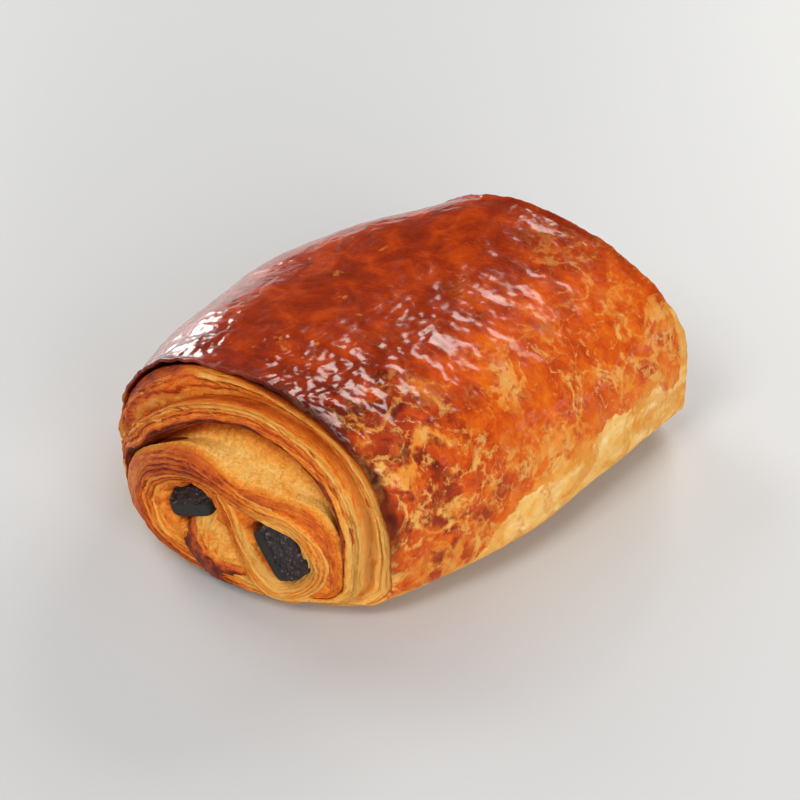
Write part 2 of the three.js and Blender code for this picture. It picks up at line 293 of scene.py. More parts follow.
# %% Closed skins over rings of points
def many_skins(name, rings, marks, start=None, finish=None):
    """One mesh object of closed skins (skins x rows x sides x 3, in mm). Quads join neighbouring rings, and
    fans close both ends on a point, by default the end ring's middle. marks are numbers stored with the
    points. All faces are turned over if the enclosed volume, the sum of signed pyramids, is negative."""
    count, rows, sides, _ = rings.shape
    start = rings[:, 0].mean(axis=1) if start is None else start[None]
    finish = rings[:, -1].mean(axis=1) if finish is None else finish[None]
    points = np.concatenate([rings.reshape(count, -1, 3), start[:, None], finish[:, None]], axis=1)
    index = np.arange(rows * sides).reshape(rows, sides)
    beside = np.roll(index, -1, axis=1)
    quads = np.stack([index[:-1], index[1:], beside[1:], beside[:-1]], -1).reshape(-1, 4)
    first = np.stack([np.full(sides, rows * sides), index[0], beside[0]], -1)
    last = np.stack([np.full(sides, rows * sides + 1), beside[-1], index[-1]], -1)
    step = np.arange(count)[:, None, None] * points.shape[1]
    quads = (quads[None] + step).reshape(-1, 4)
    fans = (np.vstack([first, last])[None] + step).reshape(-1, 3)
    points = points.reshape(-1, 3)
    first_corner, *others = (points[quads[:, k]] for k in range(4))
    volume = sum(np.sum(first_corner * np.cross(others[k], others[k + 1])) for k in (0, 1))
    if volume < 0:
        quads, fans = quads[:, ::-1], fans[:, ::-1]

    mesh = bpy.data.meshes.new(name)
    mesh.vertices.add(len(points))
    mesh.vertices.foreach_set("co", ((points + SHIFT) * MM).ravel())
    corners = np.concatenate([quads.ravel(), fans.ravel()])
    mesh.loops.add(len(corners))
    mesh.loops.foreach_set("vertex_index", corners.astype(np.int32))
    starts = np.concatenate([np.arange(len(quads)) * 4, len(quads) * 4 + np.arange(len(fans)) * 3])
    mesh.polygons.add(len(starts))
    mesh.polygons.foreach_set("loop_start", starts.astype(np.int32))
    mesh.polygons.foreach_set("use_smooth", np.ones(len(starts), bool))
    mesh.update(calc_edges=True)
    for mark, values in marks.items():
        flat = values.reshape(count, -1)
        ends = np.stack([values[:, 0].mean(axis=1), values[:, -1].mean(axis=1)], axis=1)
        layer = mesh.attributes.new(mark, "FLOAT", "POINT")
        layer.data.foreach_set("value", np.concatenate([flat, ends], axis=1).ravel().astype(np.float32))
    piece = bpy.data.objects.new(name, mesh)
    scene.collection.objects.link(piece)
    print(f"{name}: {len(points)} points, {2 * len(quads) + len(fans)} triangles")
    return piece


def closed_skin(name, rings, marks, start=None, finish=None):
    """A mesh object of one closed skin over rings (rows x sides x 3)."""
    return many_skins(name, rings[None], {mark: v[None] for mark, v in marks.items()}, start, finish)


# %% [markdown]
# ## The barrel of dough
# The section turns with an angle, and the station t runs from -1 at the front rim to 1 at the back rim.
# The rim isn't flat: it lies further back on the flanks than under the scroll, as the roll swells in the
# oven.

# %% Section, rim and end face as formulas
GIRTH_STEPS = 4000


def rounded(value, power):
    """Superellipse coordinate: the sign of the value times its size to the power 2 / power."""
    return np.sign(value) * np.abs(value) ** (2 / power)


def along(size, t):
    """A size at t: the middle one, changed towards the end's one by |t| to TAPER_POWER."""
    end = np.where(t < 0, size["front"], size["back"])
    return size["middle"] + (end - size["middle"]) * np.abs(t) ** TAPER_POWER


def swell(angle, y):
    """Broad swells: the sum of sines of the section angle and y."""
    return LUMP * sum(np.sin(around * angle + slant * y + phase) for around, slant, phase in SWELLS)


def barrel(angle, t):
    """Points of the plain crust. x is half the width times the superellipse cosine, plus the drift and the
    lean of the crown; z is the superellipse sine above the waist, and below it the same to a flat base."""
    cos, sin = np.cos(angle), np.sin(angle)
    arch = np.maximum(sin, 0)
    shift = DRIFT * np.maximum(t, 0) ** TAPER_POWER + CROWN_SHIFT * arch
    x = along(WIDTH, t) / 2 * np.where(sin > 0, rounded(cos, ROUND_TOP), rounded(cos, ROUND_BASE)) + shift
    toe = np.where(t < 0, TOE_LIFT["front"], TOE_LIFT["back"]) * ease(np.abs(t), TOE_START, TOE_END)
    below = np.maximum(toe, WAIST_Z - (WAIST_Z + SAG) * np.abs(sin) ** (2 / ROUND_BASE))
    z = np.where(sin < 0, below, WAIST_Z + (along(HEIGHT, t) - WAIST_Z) * rounded(arch, ROUND_TOP))
    under = 1 - (1 - NOSE_UNDER) * np.maximum(-sin, 0) ** 2
    front = -LENGTH / 2 + NOSE["front"] * under - RIM_LEAN["front"] * z / RIM_HEIGHT
    back = LENGTH / 2 - NOSE["back"] * under - RIM_LEAN["back"] * z / RIM_HEIGHT
    y = front + (back - front) * (t + 1) / 2
    lump = swell(angle, y) * np.maximum(sin + SWELL_START, 0)
    return np.stack([x + lump * cos, y, z + lump * arch], -1)


def even_angles(count):
    """Section angles that are evenly spaced along the girth in the middle of the length."""
    fine = np.linspace(0, 2 * math.pi, GIRTH_STEPS + 1)
    path = barrel(fine, np.zeros_like(fine))
    length = np.concatenate([[0], np.cumsum(np.linalg.norm(np.diff(path, axis=0), axis=1))])
    return np.interp(np.arange(count) / count * length[-1], length, fine)


def outward(rings):
    """Unit normals of a grid of rings: the cross product of the ways along and around."""
    lengthwise = np.gradient(rings, axis=0)
    around = (np.roll(rings, -1, axis=1) - np.roll(rings, 1, axis=1)) / 2
    normal = np.cross(lengthwise, around)
    return normal / np.maximum(np.linalg.norm(normal, axis=-1, keepdims=True), 1e-9)


# %% [markdown]
# ## Crust
# Egg wash dries to a thin skin over the dough and wrinkles as the crust grows under it. So the crust has
# three sizes of relief: slow waves, blisters of a few millimetres, and fine wrinkles that run across the
# roll. A bump map could fake them, but the highlights and the outline need true displacement of a fine grid.
# The edge at each end is a thin lip that stands over the layers, and it turns in and runs back a little way
# inside, so that the shell is closed and has a true thickness.

# %% Relief of the crust
WAVE_SIZE, WAVE_HEIGHT = 17, 0.5
BLISTER_SIZE = 5.0
WRINKLE_SIZE, CREASE_SIZE = 1.9, 1.1
RIGHT_SHOULDER = (2, 22)


def crust_relief(x, y, z, t):
    """Height over the plain barrel in mm: waves, plus blisters and wrinkles that are each taller on the right
    shoulder and where the sheet folds over the front, all of it less near the table."""
    shoulder = ease(x, *RIGHT_SHOULDER) * ease(z, 8, 20) * (1 - 0.6 * ease(t, -0.3, 0.5))
    front_fold = ease(-t, 0.25, 0.7) * ease(z, 22, 36)
    waves = WAVE_HEIGHT * lumps(x, y, z, WAVE_SIZE, 1)
    blisters = crags(x, y, z, BLISTER_SIZE, 4, 3)
    wrinkles = lumps(1.6 * x, 0.45 * x + 0.9 * y, 1.6 * z, WRINKLE_SIZE, 9)
    wrinkles = wrinkles + 0.6 * lumps(2 * x, y, 2 * z, CREASE_SIZE, 10)
    relief = waves + blisters * (0.16 + 0.1 * shoulder + 0.16 * front_fold)
    relief = relief + wrinkles * (0.05 + 0.08 * shoulder + 0.05 * front_fold)
    return relief * ease(z, 1.5, 9.0)


def rim_curl(z, t):
    """How far the sheet lifts at both rims in mm, except low on the sides."""
    return 0.5 * ease(np.abs(t), 0.96, 1.0) * ease(z, 10, 25)


def rim_ragged(x, z, t):
    """How far the torn edge of both rims is pushed along the roll in mm: crags that fade from the rim on."""
    crag = 0.55 * crags(x, 0, z, 7.0, 15, 3) + 0.25 * lumps(x, 0, z, 1.6, 19)
    return np.sign(t) * crag * ease(np.abs(t), 0.93, 1.0) * ease(z, 3, 12)


# %% [markdown]
# The colour needs more than noise, as a real crust follows a plan: the wash stops in scallops low on the
# flank, the top bakes darkest, the growing side tears, and the thin rims burn. Each of these is a number for
# every point of the crust, and the finish reads them.

# %% Marks on the crust
WASH_LINE = 17.5
SCALLOPS = {10: 4.6, 4: 1.8, 1.8: 0.8}
CROWN_LEAN = 0.45
FLANK = (6, 22)


def egg_wash(x, y, z, t):
    """Height over the edge of the wash in mm. The edge lies at WASH_LINE, lower towards the front and on the
    left, with scallops of three sizes, and a strip at the back right stays bare."""
    edge = WASH_LINE + 2.5 * lumps(x, y, 0, 24, 50) - 12.5 * ease(-t, 0.1, 0.85) - 2.5 * ease(-x, 10, 30)
    scallops = sum(high * lumps(x, y, z, wide, 51 + k) for k, (wide, high) in enumerate(SCALLOPS.items()))
    bare = 16 * ease(t + 0.03 * lumps(x, y, z, 6, 54), 0.94, 1.0) * ease(x, 16, 34)
    return z - edge + scallops - bare


def baked(x, z, t, wash):
    """Brownness from 0 to 1: more over the crown, which leans to the left, and over the front, and less
    along the edge of the wash."""
    crown = z - CROWN_LEAN * (x - 10)
    brown = 0.47 + 0.27 * ease(crown, 24, 44) * (0.3 + 0.7 * ease(z, 10, 28))
    return brown + 0.14 * ease(-t, 0.45, 0.95) * ease(z, 24, 38) - 0.18 * (1 - ease(wash, 0, 10))


def torn_share(x, z, t):
    """How much the wash is torn: on the right flank under the shoulder, more in front, low at the left."""
    right = ease(x, *FLANK) * (1 - 0.7 * ease(z, 33, 45)) + 0.3 * ease(-t, 0.3, 0.8) * ease(x, 10, 24)
    return right + 0.8 * ease(-x, 18, 34) * (1 - ease(z, 22, 32))


def patchy_share(x, t):
    """How much the right flank breaks up into brown islands: most in front."""
    return ease(x, *FLANK) * (0.25 + 0.75 * ease(-t, 0.2, 0.75))


def charred(x, y, z, t):
    """How burnt the rims are: within a wavy line beside each rim, less behind, most over the right."""
    beside = ease(np.abs(t) + 0.02 * lumps(x, y, z, 5, 31), 0.93, 0.99) * ease(z, 8, 26)
    return beside * np.where(t < 0, 1, 0.3) * (0.25 + 0.7 * ease(x, -6, 12) + 0.35 * lumps(x, y, z, 6, 30))


# %% [markdown]
# The crust is then the barrel pushed out along its normals by the relief, with the lip's rows at both ends.

# %% Crust piece
CRUST_SIDES, CRUST_STATIONS = 430, 196
RIM_CROWDING = 0.35
LIP_PROFILE = [(0.12, -0.2), (0.36, -0.3), (0.62, -0.2), (0.8, 0.1), (0.92, 0.7), (1.05, 2.2), (1.9, 5.0),
               (3.6, 9.5)]
LIP_CHAR = 0.2


def lip_rows(rim, end_sign):
    """Rows of the lip: each is the rim moved in towards the eye, and on along the roll, by small steps."""
    eye = np.array([EYE_X + (DRIFT if end_sign > 0 else 0), 0, EYE_Z])
    inward = (eye - rim) * np.array([1, 0, 1])
    inward /= np.linalg.norm(inward, axis=-1, keepdims=True)
    step = np.array([0, -end_sign, 0])
    return np.stack([rim + inward * inset + step * back for inset, back in LIP_PROFILE])


def with_lips(values, last=1.0):
    """A mark continued over the rows of both lips, changed evenly to a share of itself on the last one."""
    fade = np.linspace(1, last, len(LIP_PROFILE))[:, None]
    return np.concatenate([values[:1] * fade[::-1], values, values[-1:] * fade])


even = np.linspace(-1, 1, CRUST_STATIONS)
stations = np.sin(even * math.pi / 2) * RIM_CROWDING + even * (1 - RIM_CROWDING)
angle_grid, t = np.meshgrid(even_angles(CRUST_SIDES), stations)
shell = barrel(angle_grid, t)
x, y, z = np.moveaxis(shell, -1, 0)
shell = shell + outward(shell) * (crust_relief(x, y, z, t) + rim_curl(z, t))[..., None]
shell[..., 1] += rim_ragged(x, z, t)
shell[..., 2] = np.maximum(shell[..., 2], 0)
crust_rings = np.concatenate([lip_rows(shell[0], -1)[::-1], shell, lip_rows(shell[-1], 1)])
crust_rings[..., 2] = np.maximum(crust_rings[..., 2], 0)

wash = egg_wash(x, y, z, t)
crust = closed_skin("crust", crust_rings, {
    "char": with_lips(charred(x, y, z, t), LIP_CHAR),
    "bake": with_lips(baked(x, z, t, wash)),
    "wash": with_lips(wash),
    "torn": with_lips(torn_share(x, z, t)),
    "patchy": with_lips(patchy_share(x, t)),
})
print("crust reaches", np.ptp(crust_rings.reshape(-1, 3), axis=0).round(1), "mm")

# %% [markdown]
# ## End faces
# At each end the sheet is cut across, and the layers open in the oven like a book. From the rim to the eye
# come a thin outer band, a deep groove, a broad middle band, a valley of open crumb, and the inner turn.
# It could be modelled sheet by sheet, but hundreds of sheets that touch make a heavy mesh full of gaps. So
# the face is one dome with relief. Its rings follow the bands, so a ridge stays one ridge all the way round,
# and each band carries fine layers: rounded ridges whose number is fixed and whose path wanders. The places
# of the bands are shares of the radius at angles round the eye, from the right over the top to the left.

# %% Places and heights of the bands
GROOVE_AT = [(-90, 0.93), (-10, 0.88), (20, 0.9), (62, 0.91), (80, 0.87), (104, 0.8), (130, 0.76),
             (152, 0.8), (178, 0.92), (230, 0.95)]
MIDDLE_AT = [(-90, 0.88), (-9, 0.81), (37, 0.82), (70, 0.8), (82, 0.76), (108, 0.67), (130, 0.65),
             (150, 0.67), (170, 0.77), (230, 0.9)]
CRUMB_AT = [(-90, 0.82), (-13, 0.78), (15, 0.75), (30, 0.69), (39, 0.58), (57, 0.48), (84, 0.53),
            (126, 0.54), (150, 0.6), (178, 0.71), (230, 0.85)]
LIP_STEP, OUTER_BAND, GROOVE_DEPTH = 2.0, -0.7, 3.2
MIDDLE_BAND, CRUMB_DEPTH, SCROLL_RISE = 0.6, 5.0, 0.8
LEFT_SIDE, LEAST_RELIEF = 200, 0.35
HIGH_SIDE = (90, 120, 160, 185)


def round_eye(pairs, degrees):
    """The smooth curve through pairs of an angle and a value, once round the eye: a cubic between each two
    pairs, whose slope at a pair is that from the pair before to the pair after."""
    angle = np.array([a for a, _ in pairs], float)
    value = np.array([v for _, v in pairs])
    angle = np.concatenate([angle[-2:] - 360, angle, angle[:2] + 360])
    value = np.concatenate([value[-2:], value, value[:2]])
    turn = (degrees - pairs[0][0]) % 360 + pairs[0][0]
    low = np.searchsorted(angle, turn, side="right") - 1
    gap = angle[low + 1] - angle[low]
    u = (turn - angle[low]) / gap
    slope_low = (value[low + 1] - value[low - 1]) / (angle[low + 1] - angle[low - 1]) * gap
    slope_high = (value[low + 2] - value[low]) / (angle[low + 2] - angle[low]) * gap
    straight = value[low] * (1 + 2 * u) * (1 - u) ** 2 + value[low + 1] * u * u * (3 - 2 * u)
    return straight + slope_low * u * (1 - u) ** 2 - slope_high * u * u * (1 - u)


def blend(a, b, share):
    """The value that lies a share of the way from a to b."""
    return a + (b - a) * share


def band_edges(degrees):
    """Share of the radius, height over the dome in mm and brownness of each band edge, from the rim to the
    eye, at these angles. The brownness also holds painted shade under the lip, at the bottom of the groove
    and at the foot of the overhang. The heights fade on the left, where the real bands lie close together."""
    away = np.abs((degrees - LEFT_SIDE + 540) % 360 - 180)
    relief = blend(LEAST_RELIEF, 1, ease(away, 20, 70))
    groove = round_eye(GROOVE_AT, degrees)
    middle = round_eye(MIDDLE_AT, degrees)
    crumb = round_eye(CRUMB_AT, degrees)
    one = np.ones_like(degrees)
    high_side = 1 - 1.6 * between(degrees, *HIGH_SIDE)
    open_lip = ease(degrees, 20, 55) * (1 - 0.8 * ease(degrees, 95, 130))
    lip_gap = 0.35 * LIP_STEP * (0.25 + 0.75 * open_lip)
    edges = [
        # Painted shade: dark under the lip of the crust.
        (0.992 * one, -0.5 - 2.0 * open_lip, 0.80),  # under the lip of the crust
        (0.98 * one, -0.1 - lip_gap * (1 + lumps(degrees, 0, 0, 24, 61)) * relief, 0.50),  # outer band
        (blend(groove, 1, 0.55), OUTER_BAND * relief * high_side, 0.34),  # its middle
        # Painted shade: darker at the bottom of the groove.
        (blend(groove, 1, 0.15), -GROOVE_DEPTH * relief, 0.55),  # bottom of the groove
        (groove - 0.015, MIDDLE_BAND * relief, 0.30),  # middle band
        (groove - 0.035, (MIDDLE_BAND + 0.4) * relief, 0.16),  # its pale crest
        (blend(groove, middle, 0.6), (MIDDLE_BAND + 0.2) * relief, 0.60),  # its brown slope
        (middle - 0.012, 0.3 * one, 0.74),  # its inner edge, which overhangs
        # Painted shade: darker at the foot of the overhang, where the crumb meets it.
        (middle + 0.002, -CRUMB_DEPTH * relief, 0.62),  # foot of the overhang
        (blend(middle, crumb, 0.55), -CRUMB_DEPTH * 0.7 * relief, 0.10),  # valley of crumb
        (crumb + 0.05, -0.9 * one, 0.16),  # its near slope
        (crumb + 0.01, 0.3 * one, 0.50),  # edge of the scroll
        (crumb - 0.03, SCROLL_RISE * one, 0.55),  # its crest
        (crumb * 0.66, 0 * one, 0.40),  # scroll, under the inner turn
        (crumb * 0.33, -0.4 * one, 0.35),  # scroll, near the eye
        (0.02 * one, -0.4 * one, 0.35),  # eye
    ]
    return tuple(np.stack([edge[k] * one for edge in edges]) for k in range(3))


# %% [markdown]
# The dome itself is the rim drawn in to the nose: a point at a share r of the way from the eye to the rim
# lies behind the nose by the rim's depth times r to DOME_POWER. Heights are added along its normal.

# %% Dome of an end face
FACE_SIDES, RIM_POINTS = 520, 720
EDGE_ROWS = [4, 16, 12, 8, 5, 12, 10, 10, 12, 14, 8, 8, 16, 10, 8]


def end_of(side):
    """The eye of an end, and its sign: -1 in front and 1 behind, its way along y and its station t."""
    sign = -1 if side == "front" else 1
    return np.array([EYE_X + (DRIFT if sign > 0 else 0), sign * LENGTH / 2, EYE_Z]), sign


def dome_point(eye, sign, rim, share, height):
    """Eye plus share of the way to the rim, with the depth eased by DOME_POWER, plus height along the
    normal, whose slope is the depth's derivative over the radius."""
    across = (rim - eye) * np.array([1, 0, 1])
    depth = (rim - eye)[..., 1]
    radius = np.linalg.norm(across, axis=-1)
    point = eye + across * share[..., None]
    point[..., 1] += depth * share ** DOME_POWER
    slope = DOME_POWER * np.abs(depth) * share ** (DOME_POWER - 1) / radius
    normal = across / radius[..., None] * slope[..., None]
    normal[..., 1] = sign
    normal /= np.linalg.norm(normal, axis=-1, keepdims=True)
    return point + normal * height[..., None]


def face_depth(side):
    """A function that gives y of the plain dome at x, z: radius and depth of the rim are read at the point's
    angle round the eye, and the depth is eased by the share of the radius."""
    eye, sign = end_of(side)
    rim = barrel(even_angles(RIM_POINTS), np.full(RIM_POINTS, float(sign)))
    turn = np.arctan2(rim[:, 2] - eye[2], rim[:, 0] - eye[0])
    order = np.argsort(turn)
    radius = np.hypot(rim[:, 0] - eye[0], rim[:, 2] - eye[2])

    def depth_at(x, z):
        """y of the dome: the nose's y plus the rim's depth times the share of the radius to DOME_POWER."""
        way = np.arctan2(z - eye[2], x - eye[0])
        far = np.interp(way, turn[order], radius[order], period=2 * math.pi)
        rim_y = np.interp(way, turn[order], rim[order, 1], period=2 * math.pi)
        share = np.minimum(np.hypot(x - eye[0], z - eye[2]) / far, 1)
        return eye[1] + (rim_y - eye[1]) * share ** DOME_POWER

    return depth_at


def in_ellipse(x, z, spot, long, short, turn):
    """Squared distance from a turned ellipse's middle, 1 on its edge."""
    cos, sin = math.cos(math.radians(turn)), math.sin(math.radians(turn))
    across = (x - spot[0]) * cos + (z - spot[1]) * sin
    up = (z - spot[1]) * cos - (x - spot[0]) * sin
    return (across / long) ** 2 + (up / short) ** 2


# %% [markdown]
# On the face, the number w counts the bands from the rim inwards. Layers are made from it: every whole step
# of a count that runs with w, and that wanders a little, is one layer with its own height and brownness.

# %% Layers and crumb
OUTER_LAYERS, MIDDLE_LAYERS = 5.0, 6.0
OUTER_SPAN, MIDDLE_SPAN = 3.0, 4.5
IN_OUTER, IN_MIDDLE = (0.8, 1.3, 2.8, 3.3), (3.4, 4.2, 7.2, 8.2)
SMOOTH_SHEET, SMOOTH_UNTIL = (95, 115, 150, 170), (1.6, 2.2)


def layer_lift(x, z, count, seed, noise_seed):
    """Lift of each layer in a count, from about -1 to 1: its own random number plus slow noise along it."""
    return layer_value(count, seed) - 0.5 + 0.7 * lumps(x, z, 9 * np.floor(count), 8, noise_seed)


def face_layers(x, z, w, degrees, seed):
    """Height and brownness that the layers add to the outer and the middle band, how their counts drift, and
    the counts. A layer is a rounded ridge plus an overlapping sheet plus its lift, and its valleys are
    darkened with painted shade. The wide sheet at the upper left has none."""
    drift = 0.8 * lumps(x, z, w, 11, seed) + 0.35 * lumps(x, z, w, 3.5, seed + 1)
    outer = w / OUTER_SPAN * OUTER_LAYERS + 0.7 * drift
    middle = (w - OUTER_SPAN) / MIDDLE_SPAN * MIDDLE_LAYERS + 0.7 * drift
    smooth = between(degrees, *SMOOTH_SHEET) * (1 - ease(w, *SMOOTH_UNTIL))
    in_outer = between(w, *IN_OUTER) * (1 - smooth)
    in_middle = between(w, *IN_MIDDLE)
    rise = 0.35 * lumps(x, z, 9 * np.floor(2 * outer), 2.4, seed + 19) * (in_outer + 0.6 * in_middle)
    rise = rise + in_outer * (0.25 * ridge(outer) + 0.9 * sheet(outer) - 0.4
                              + 0.9 * layer_lift(x, z, outer, seed, seed + 14))
    rise = rise + in_middle * (0.2 * ridge(middle) + 0.5 * sheet(middle) - 0.3
                               + 0.6 * layer_lift(x, z, middle, seed + 3, seed))
    # Painted shade: the valleys between the layer ridges are darkened.
    tan = 0.26 * (in_outer * (1 - ridge(outer)) + in_middle * (1 - ridge(middle)))
    tan = tan + in_outer * (0.45 * (layer_value(outer, seed + 7) - 0.5) - 0.12)
    tan = tan + in_middle * 0.5 * (layer_value(middle, seed + 9) - 0.5) + 0.1 * drift + 0.26 * smooth
    return rise, tan, drift, outer, middle


def crumb_relief(x, z, w, zone, seed):
    """Pores and soft lumps in the crumb's zone, and crags of a tenth of a millimetre elsewhere."""
    pores = 0.3 * crags(x, z, 0, 1.3, seed + 5, 2) + 0.45 * lumps(x, z, 0, 6, seed + 8)
    return zone * pores + 0.12 * crags(x, z, w, 2.2, seed + 11, 2) * (1 - zone)


# %% [markdown]
# Round each baton the dough shrank back, so the baton stands in a hollow with torn sheets round its wall.
# A hole could be cut, but a smooth dent with a ragged edge looks the same and keeps the skin in one piece.
# The dent is darkened with painted shade, less on the ridges of the torn sheets.

# %% Pockets for the batons
POCKET_LONG, POCKET_SHORT, POCKET_DEEP = 8.3, 5.2, 5.6
TORN_RINGS = 3.2


def pocket(x, z, spot, turn, drift, seed):
    """Height and painted shade of the hollow round a baton: it is deep and dark inside a turned ellipse with
    a ragged edge, and torn sheets ring its wall, a little less dark on their ridges."""
    ring = in_ellipse(x, z, spot, POCKET_LONG, POCKET_SHORT, turn)
    ring = ring + 0.3 * lumps(x, z, 0, 3, seed + 13) + 0.12 * lumps(x, z, 0, 1.2, seed + 15)
    hollow = 1 - ease(ring, 0.3, 0.95)
    torn_sheets = ridge(TORN_RINGS * ring + 0.5 * drift)
    depth = POCKET_DEEP - 0.9 * torn_sheets - 0.5 * crags(x, z, 0, 2.4, seed + 17, 3)
    # Painted shade: the hollow is darkened, less on the ridges of the torn sheets.
    return -hollow * depth, hollow * (0.55 - 0.35 * torn_sheets)


# %% Scroll faces, front and back
FACE_SEEDS = {"front": 40, "back": 70}
IN_CRUMB = (7.6, 8.6, 10.2, 11.2)
# Painted light: how much paler and more even the right side of the face is made.
RIGHT_PAINTED_EVEN, RIGHT_PAINTED_LIGHT = 0.35, 0.38
CORE_DEPTH, SKIRT_DEPTH, SKIRT_INSET = 12.0, 6.0, 0.08


def scroll_face(side):
    """The end face: band edges joined by eased rows, plus layers and crumb, less the batons' pockets. The
    right side gets painted light: its colour is paler and more even. A skirt runs back from the rim, and the
    skin closes inside the roll."""
    eye, sign = end_of(side)
    seed = FACE_SEEDS[side]
    rim = barrel(even_angles(FACE_SIDES), np.full(FACE_SIDES, float(sign)))
    degrees = np.degrees(np.arctan2(rim[:, 2] - eye[2], rim[:, 0] - eye[0]))
    share, height, brown = band_edges(degrees)
    bands = len(EDGE_ROWS)
    w = np.concatenate([np.linspace(k, k + 1, rows, endpoint=False) for k, rows in enumerate(EDGE_ROWS)]
                       + [[float(bands)]])
    low = np.minimum(w.astype(int), bands - 1)
    part = (w - low)[:, None]
    reach = blend(share[low], share[low + 1], part)
    rise = blend(height[low], height[low + 1], part * part * (3 - 2 * part))
    tan = blend(brown[low], brown[low + 1], part)

    w = w[:, None]
    x = eye[0] + (rim[:, 0] - eye[0]) * reach
    z = eye[2] + (rim[:, 2] - eye[2]) * reach
    crumb = between(w, *IN_CRUMB)
    layer_rise, layer_tan, drift, outer, middle = face_layers(x, z, w, degrees, seed)
    # Painted light: the share of the face on the right that is made paler.
    right = (1 - ease(degrees, 5, 50)) * (1 - ease(w, 6, 7.5))
    rise = rise + layer_rise + crumb_relief(x, z, w, crumb, seed)
    tan = (tan + layer_tan) * (1 - RIGHT_PAINTED_EVEN * right) - RIGHT_PAINTED_LIGHT * right
    for place in BATONS.values():
        spot = (place["x"] + (eye[0] - EYE_X), place["z"])
        sink, pocket_shade = pocket(x, z, spot, place["turn"], drift, seed)
        rise, tan = rise + sink, tan + pocket_shade

    face = dome_point(eye, sign, rim[None], reach, rise)
    face[..., 2] = np.maximum(face[..., 2], 0.05)
    skirt = face[:1] - sign * np.array([0, SKIRT_DEPTH, 0])
    skirt = skirt + SKIRT_INSET * (eye - skirt) * np.array([1, 0, 1])
    rings = np.concatenate([skirt, face])
    marks = {
        "toast_and_painted_light": np.clip(np.concatenate([tan[:1], tan]), 0, 1),
        "crumb": np.broadcast_to(np.concatenate([crumb[:1], crumb]), rings.shape[:2]).copy(),
        "lamina": np.concatenate([outer[:1], outer + ease(w, 3, 3.6) * (middle - outer)]),
    }
    return closed_skin(f"scroll_{side}", rings, marks, start=eye - np.array([0, sign * CORE_DEPTH, 0]))


scrolls = [scroll_face(side) for side in ("front", "back")]

# %% [markdown]
# ## Inner turn
# The last turn of the sheet winds round both batons. On the real end it is a thick ribbon of many fine
# layers, brown along its outer edge. It is made as a rounded strip that is carried along the scroll's path,
# so its layers run with the path, which rings round the eye couldn't do here. The path's points are x, z and
# half the ribbon's width in mm, from the middle between the batons outwards.

# %% Inner turn of the sheet, front and back
TURN = [(3.6, 25.0, 0.9), (6.2, 20.8, 1.6), (9.2, 14.6, 1.6), (12.0, 8.8, 2.1), (16.4, 5.6, 2.9),
        (21.3, 7.8, 3.3), (23.4, 13, 3.1), (20.2, 21.3, 3.0), (9, 24.3, 2.6), (-5, 25.9, 3.3),
        (-14, 20.8, 4.4), (-17.9, 13.2, 5.0), (-13, 8.4, 3.9), (-3.4, 5.7, 2.8), (7, 5.2, 2.3),
        (14, 4.6, 1.2)]
TURN_STATIONS, TURN_TOP, TURN_UNDER = 640, 84, 10
TURN_POWER, TURN_RISE, TURN_ROOT = 2.6, 1.5, 4.0
TURN_LAYERS = 9.0
TURN_POINT, TURN_TAPER = 0.35, 3.0
TURN_SEEDS = {"front": 100, "back": 130}
PATH_STEPS = 3000


def smooth_path(points, count):
    """Evenly spaced points on a smooth curve through the given ones: cubics whose knots are the square root
    of the chords apart, with slopes from the neighbours. Also the unit way in x, z and the distance."""
    points = np.array(points, float)
    knot = np.concatenate([[0], np.cumsum(np.sqrt(np.linalg.norm(np.diff(points[:, :2], axis=0), axis=1)))])
    slope = np.gradient(points, knot, axis=0)
    fine = np.linspace(0, knot[-1], PATH_STEPS)
    low = np.clip(np.searchsorted(knot, fine, side="right") - 1, 0, len(knot) - 2)
    gap = (knot[low + 1] - knot[low])[:, None]
    u = (fine - knot[low])[:, None] / gap
    curve = points[low] * (1 + 2 * u) * (1 - u) ** 2 + points[low + 1] * u * u * (3 - 2 * u)
    curve += slope[low] * gap * u * (1 - u) ** 2 - slope[low + 1] * gap * u * u * (1 - u)
    length = np.concatenate([[0], np.cumsum(np.linalg.norm(np.diff(curve[:, :2], axis=0), axis=1))])
    even = np.linspace(0, length[-1], count)
    path = np.stack([np.interp(even, length, curve[:, k]) for k in range(3)], -1)
    way = np.gradient(path[:, :2], axis=0)
    return path, way / np.linalg.norm(way, axis=1, keepdims=True), even


def turn_layers(far, v, seed):
    """Count of the layers across the ribbon, where v goes from -1 to 1, and the slow wander in it."""
    wander = 1.1 * lumps(far, 2.0 * v, 0, 14, seed + 1) + 0.4 * lumps(far, 3 * v, 0, 4, seed + 2)
    return (v + 1) / 2 * TURN_LAYERS + wander, wander


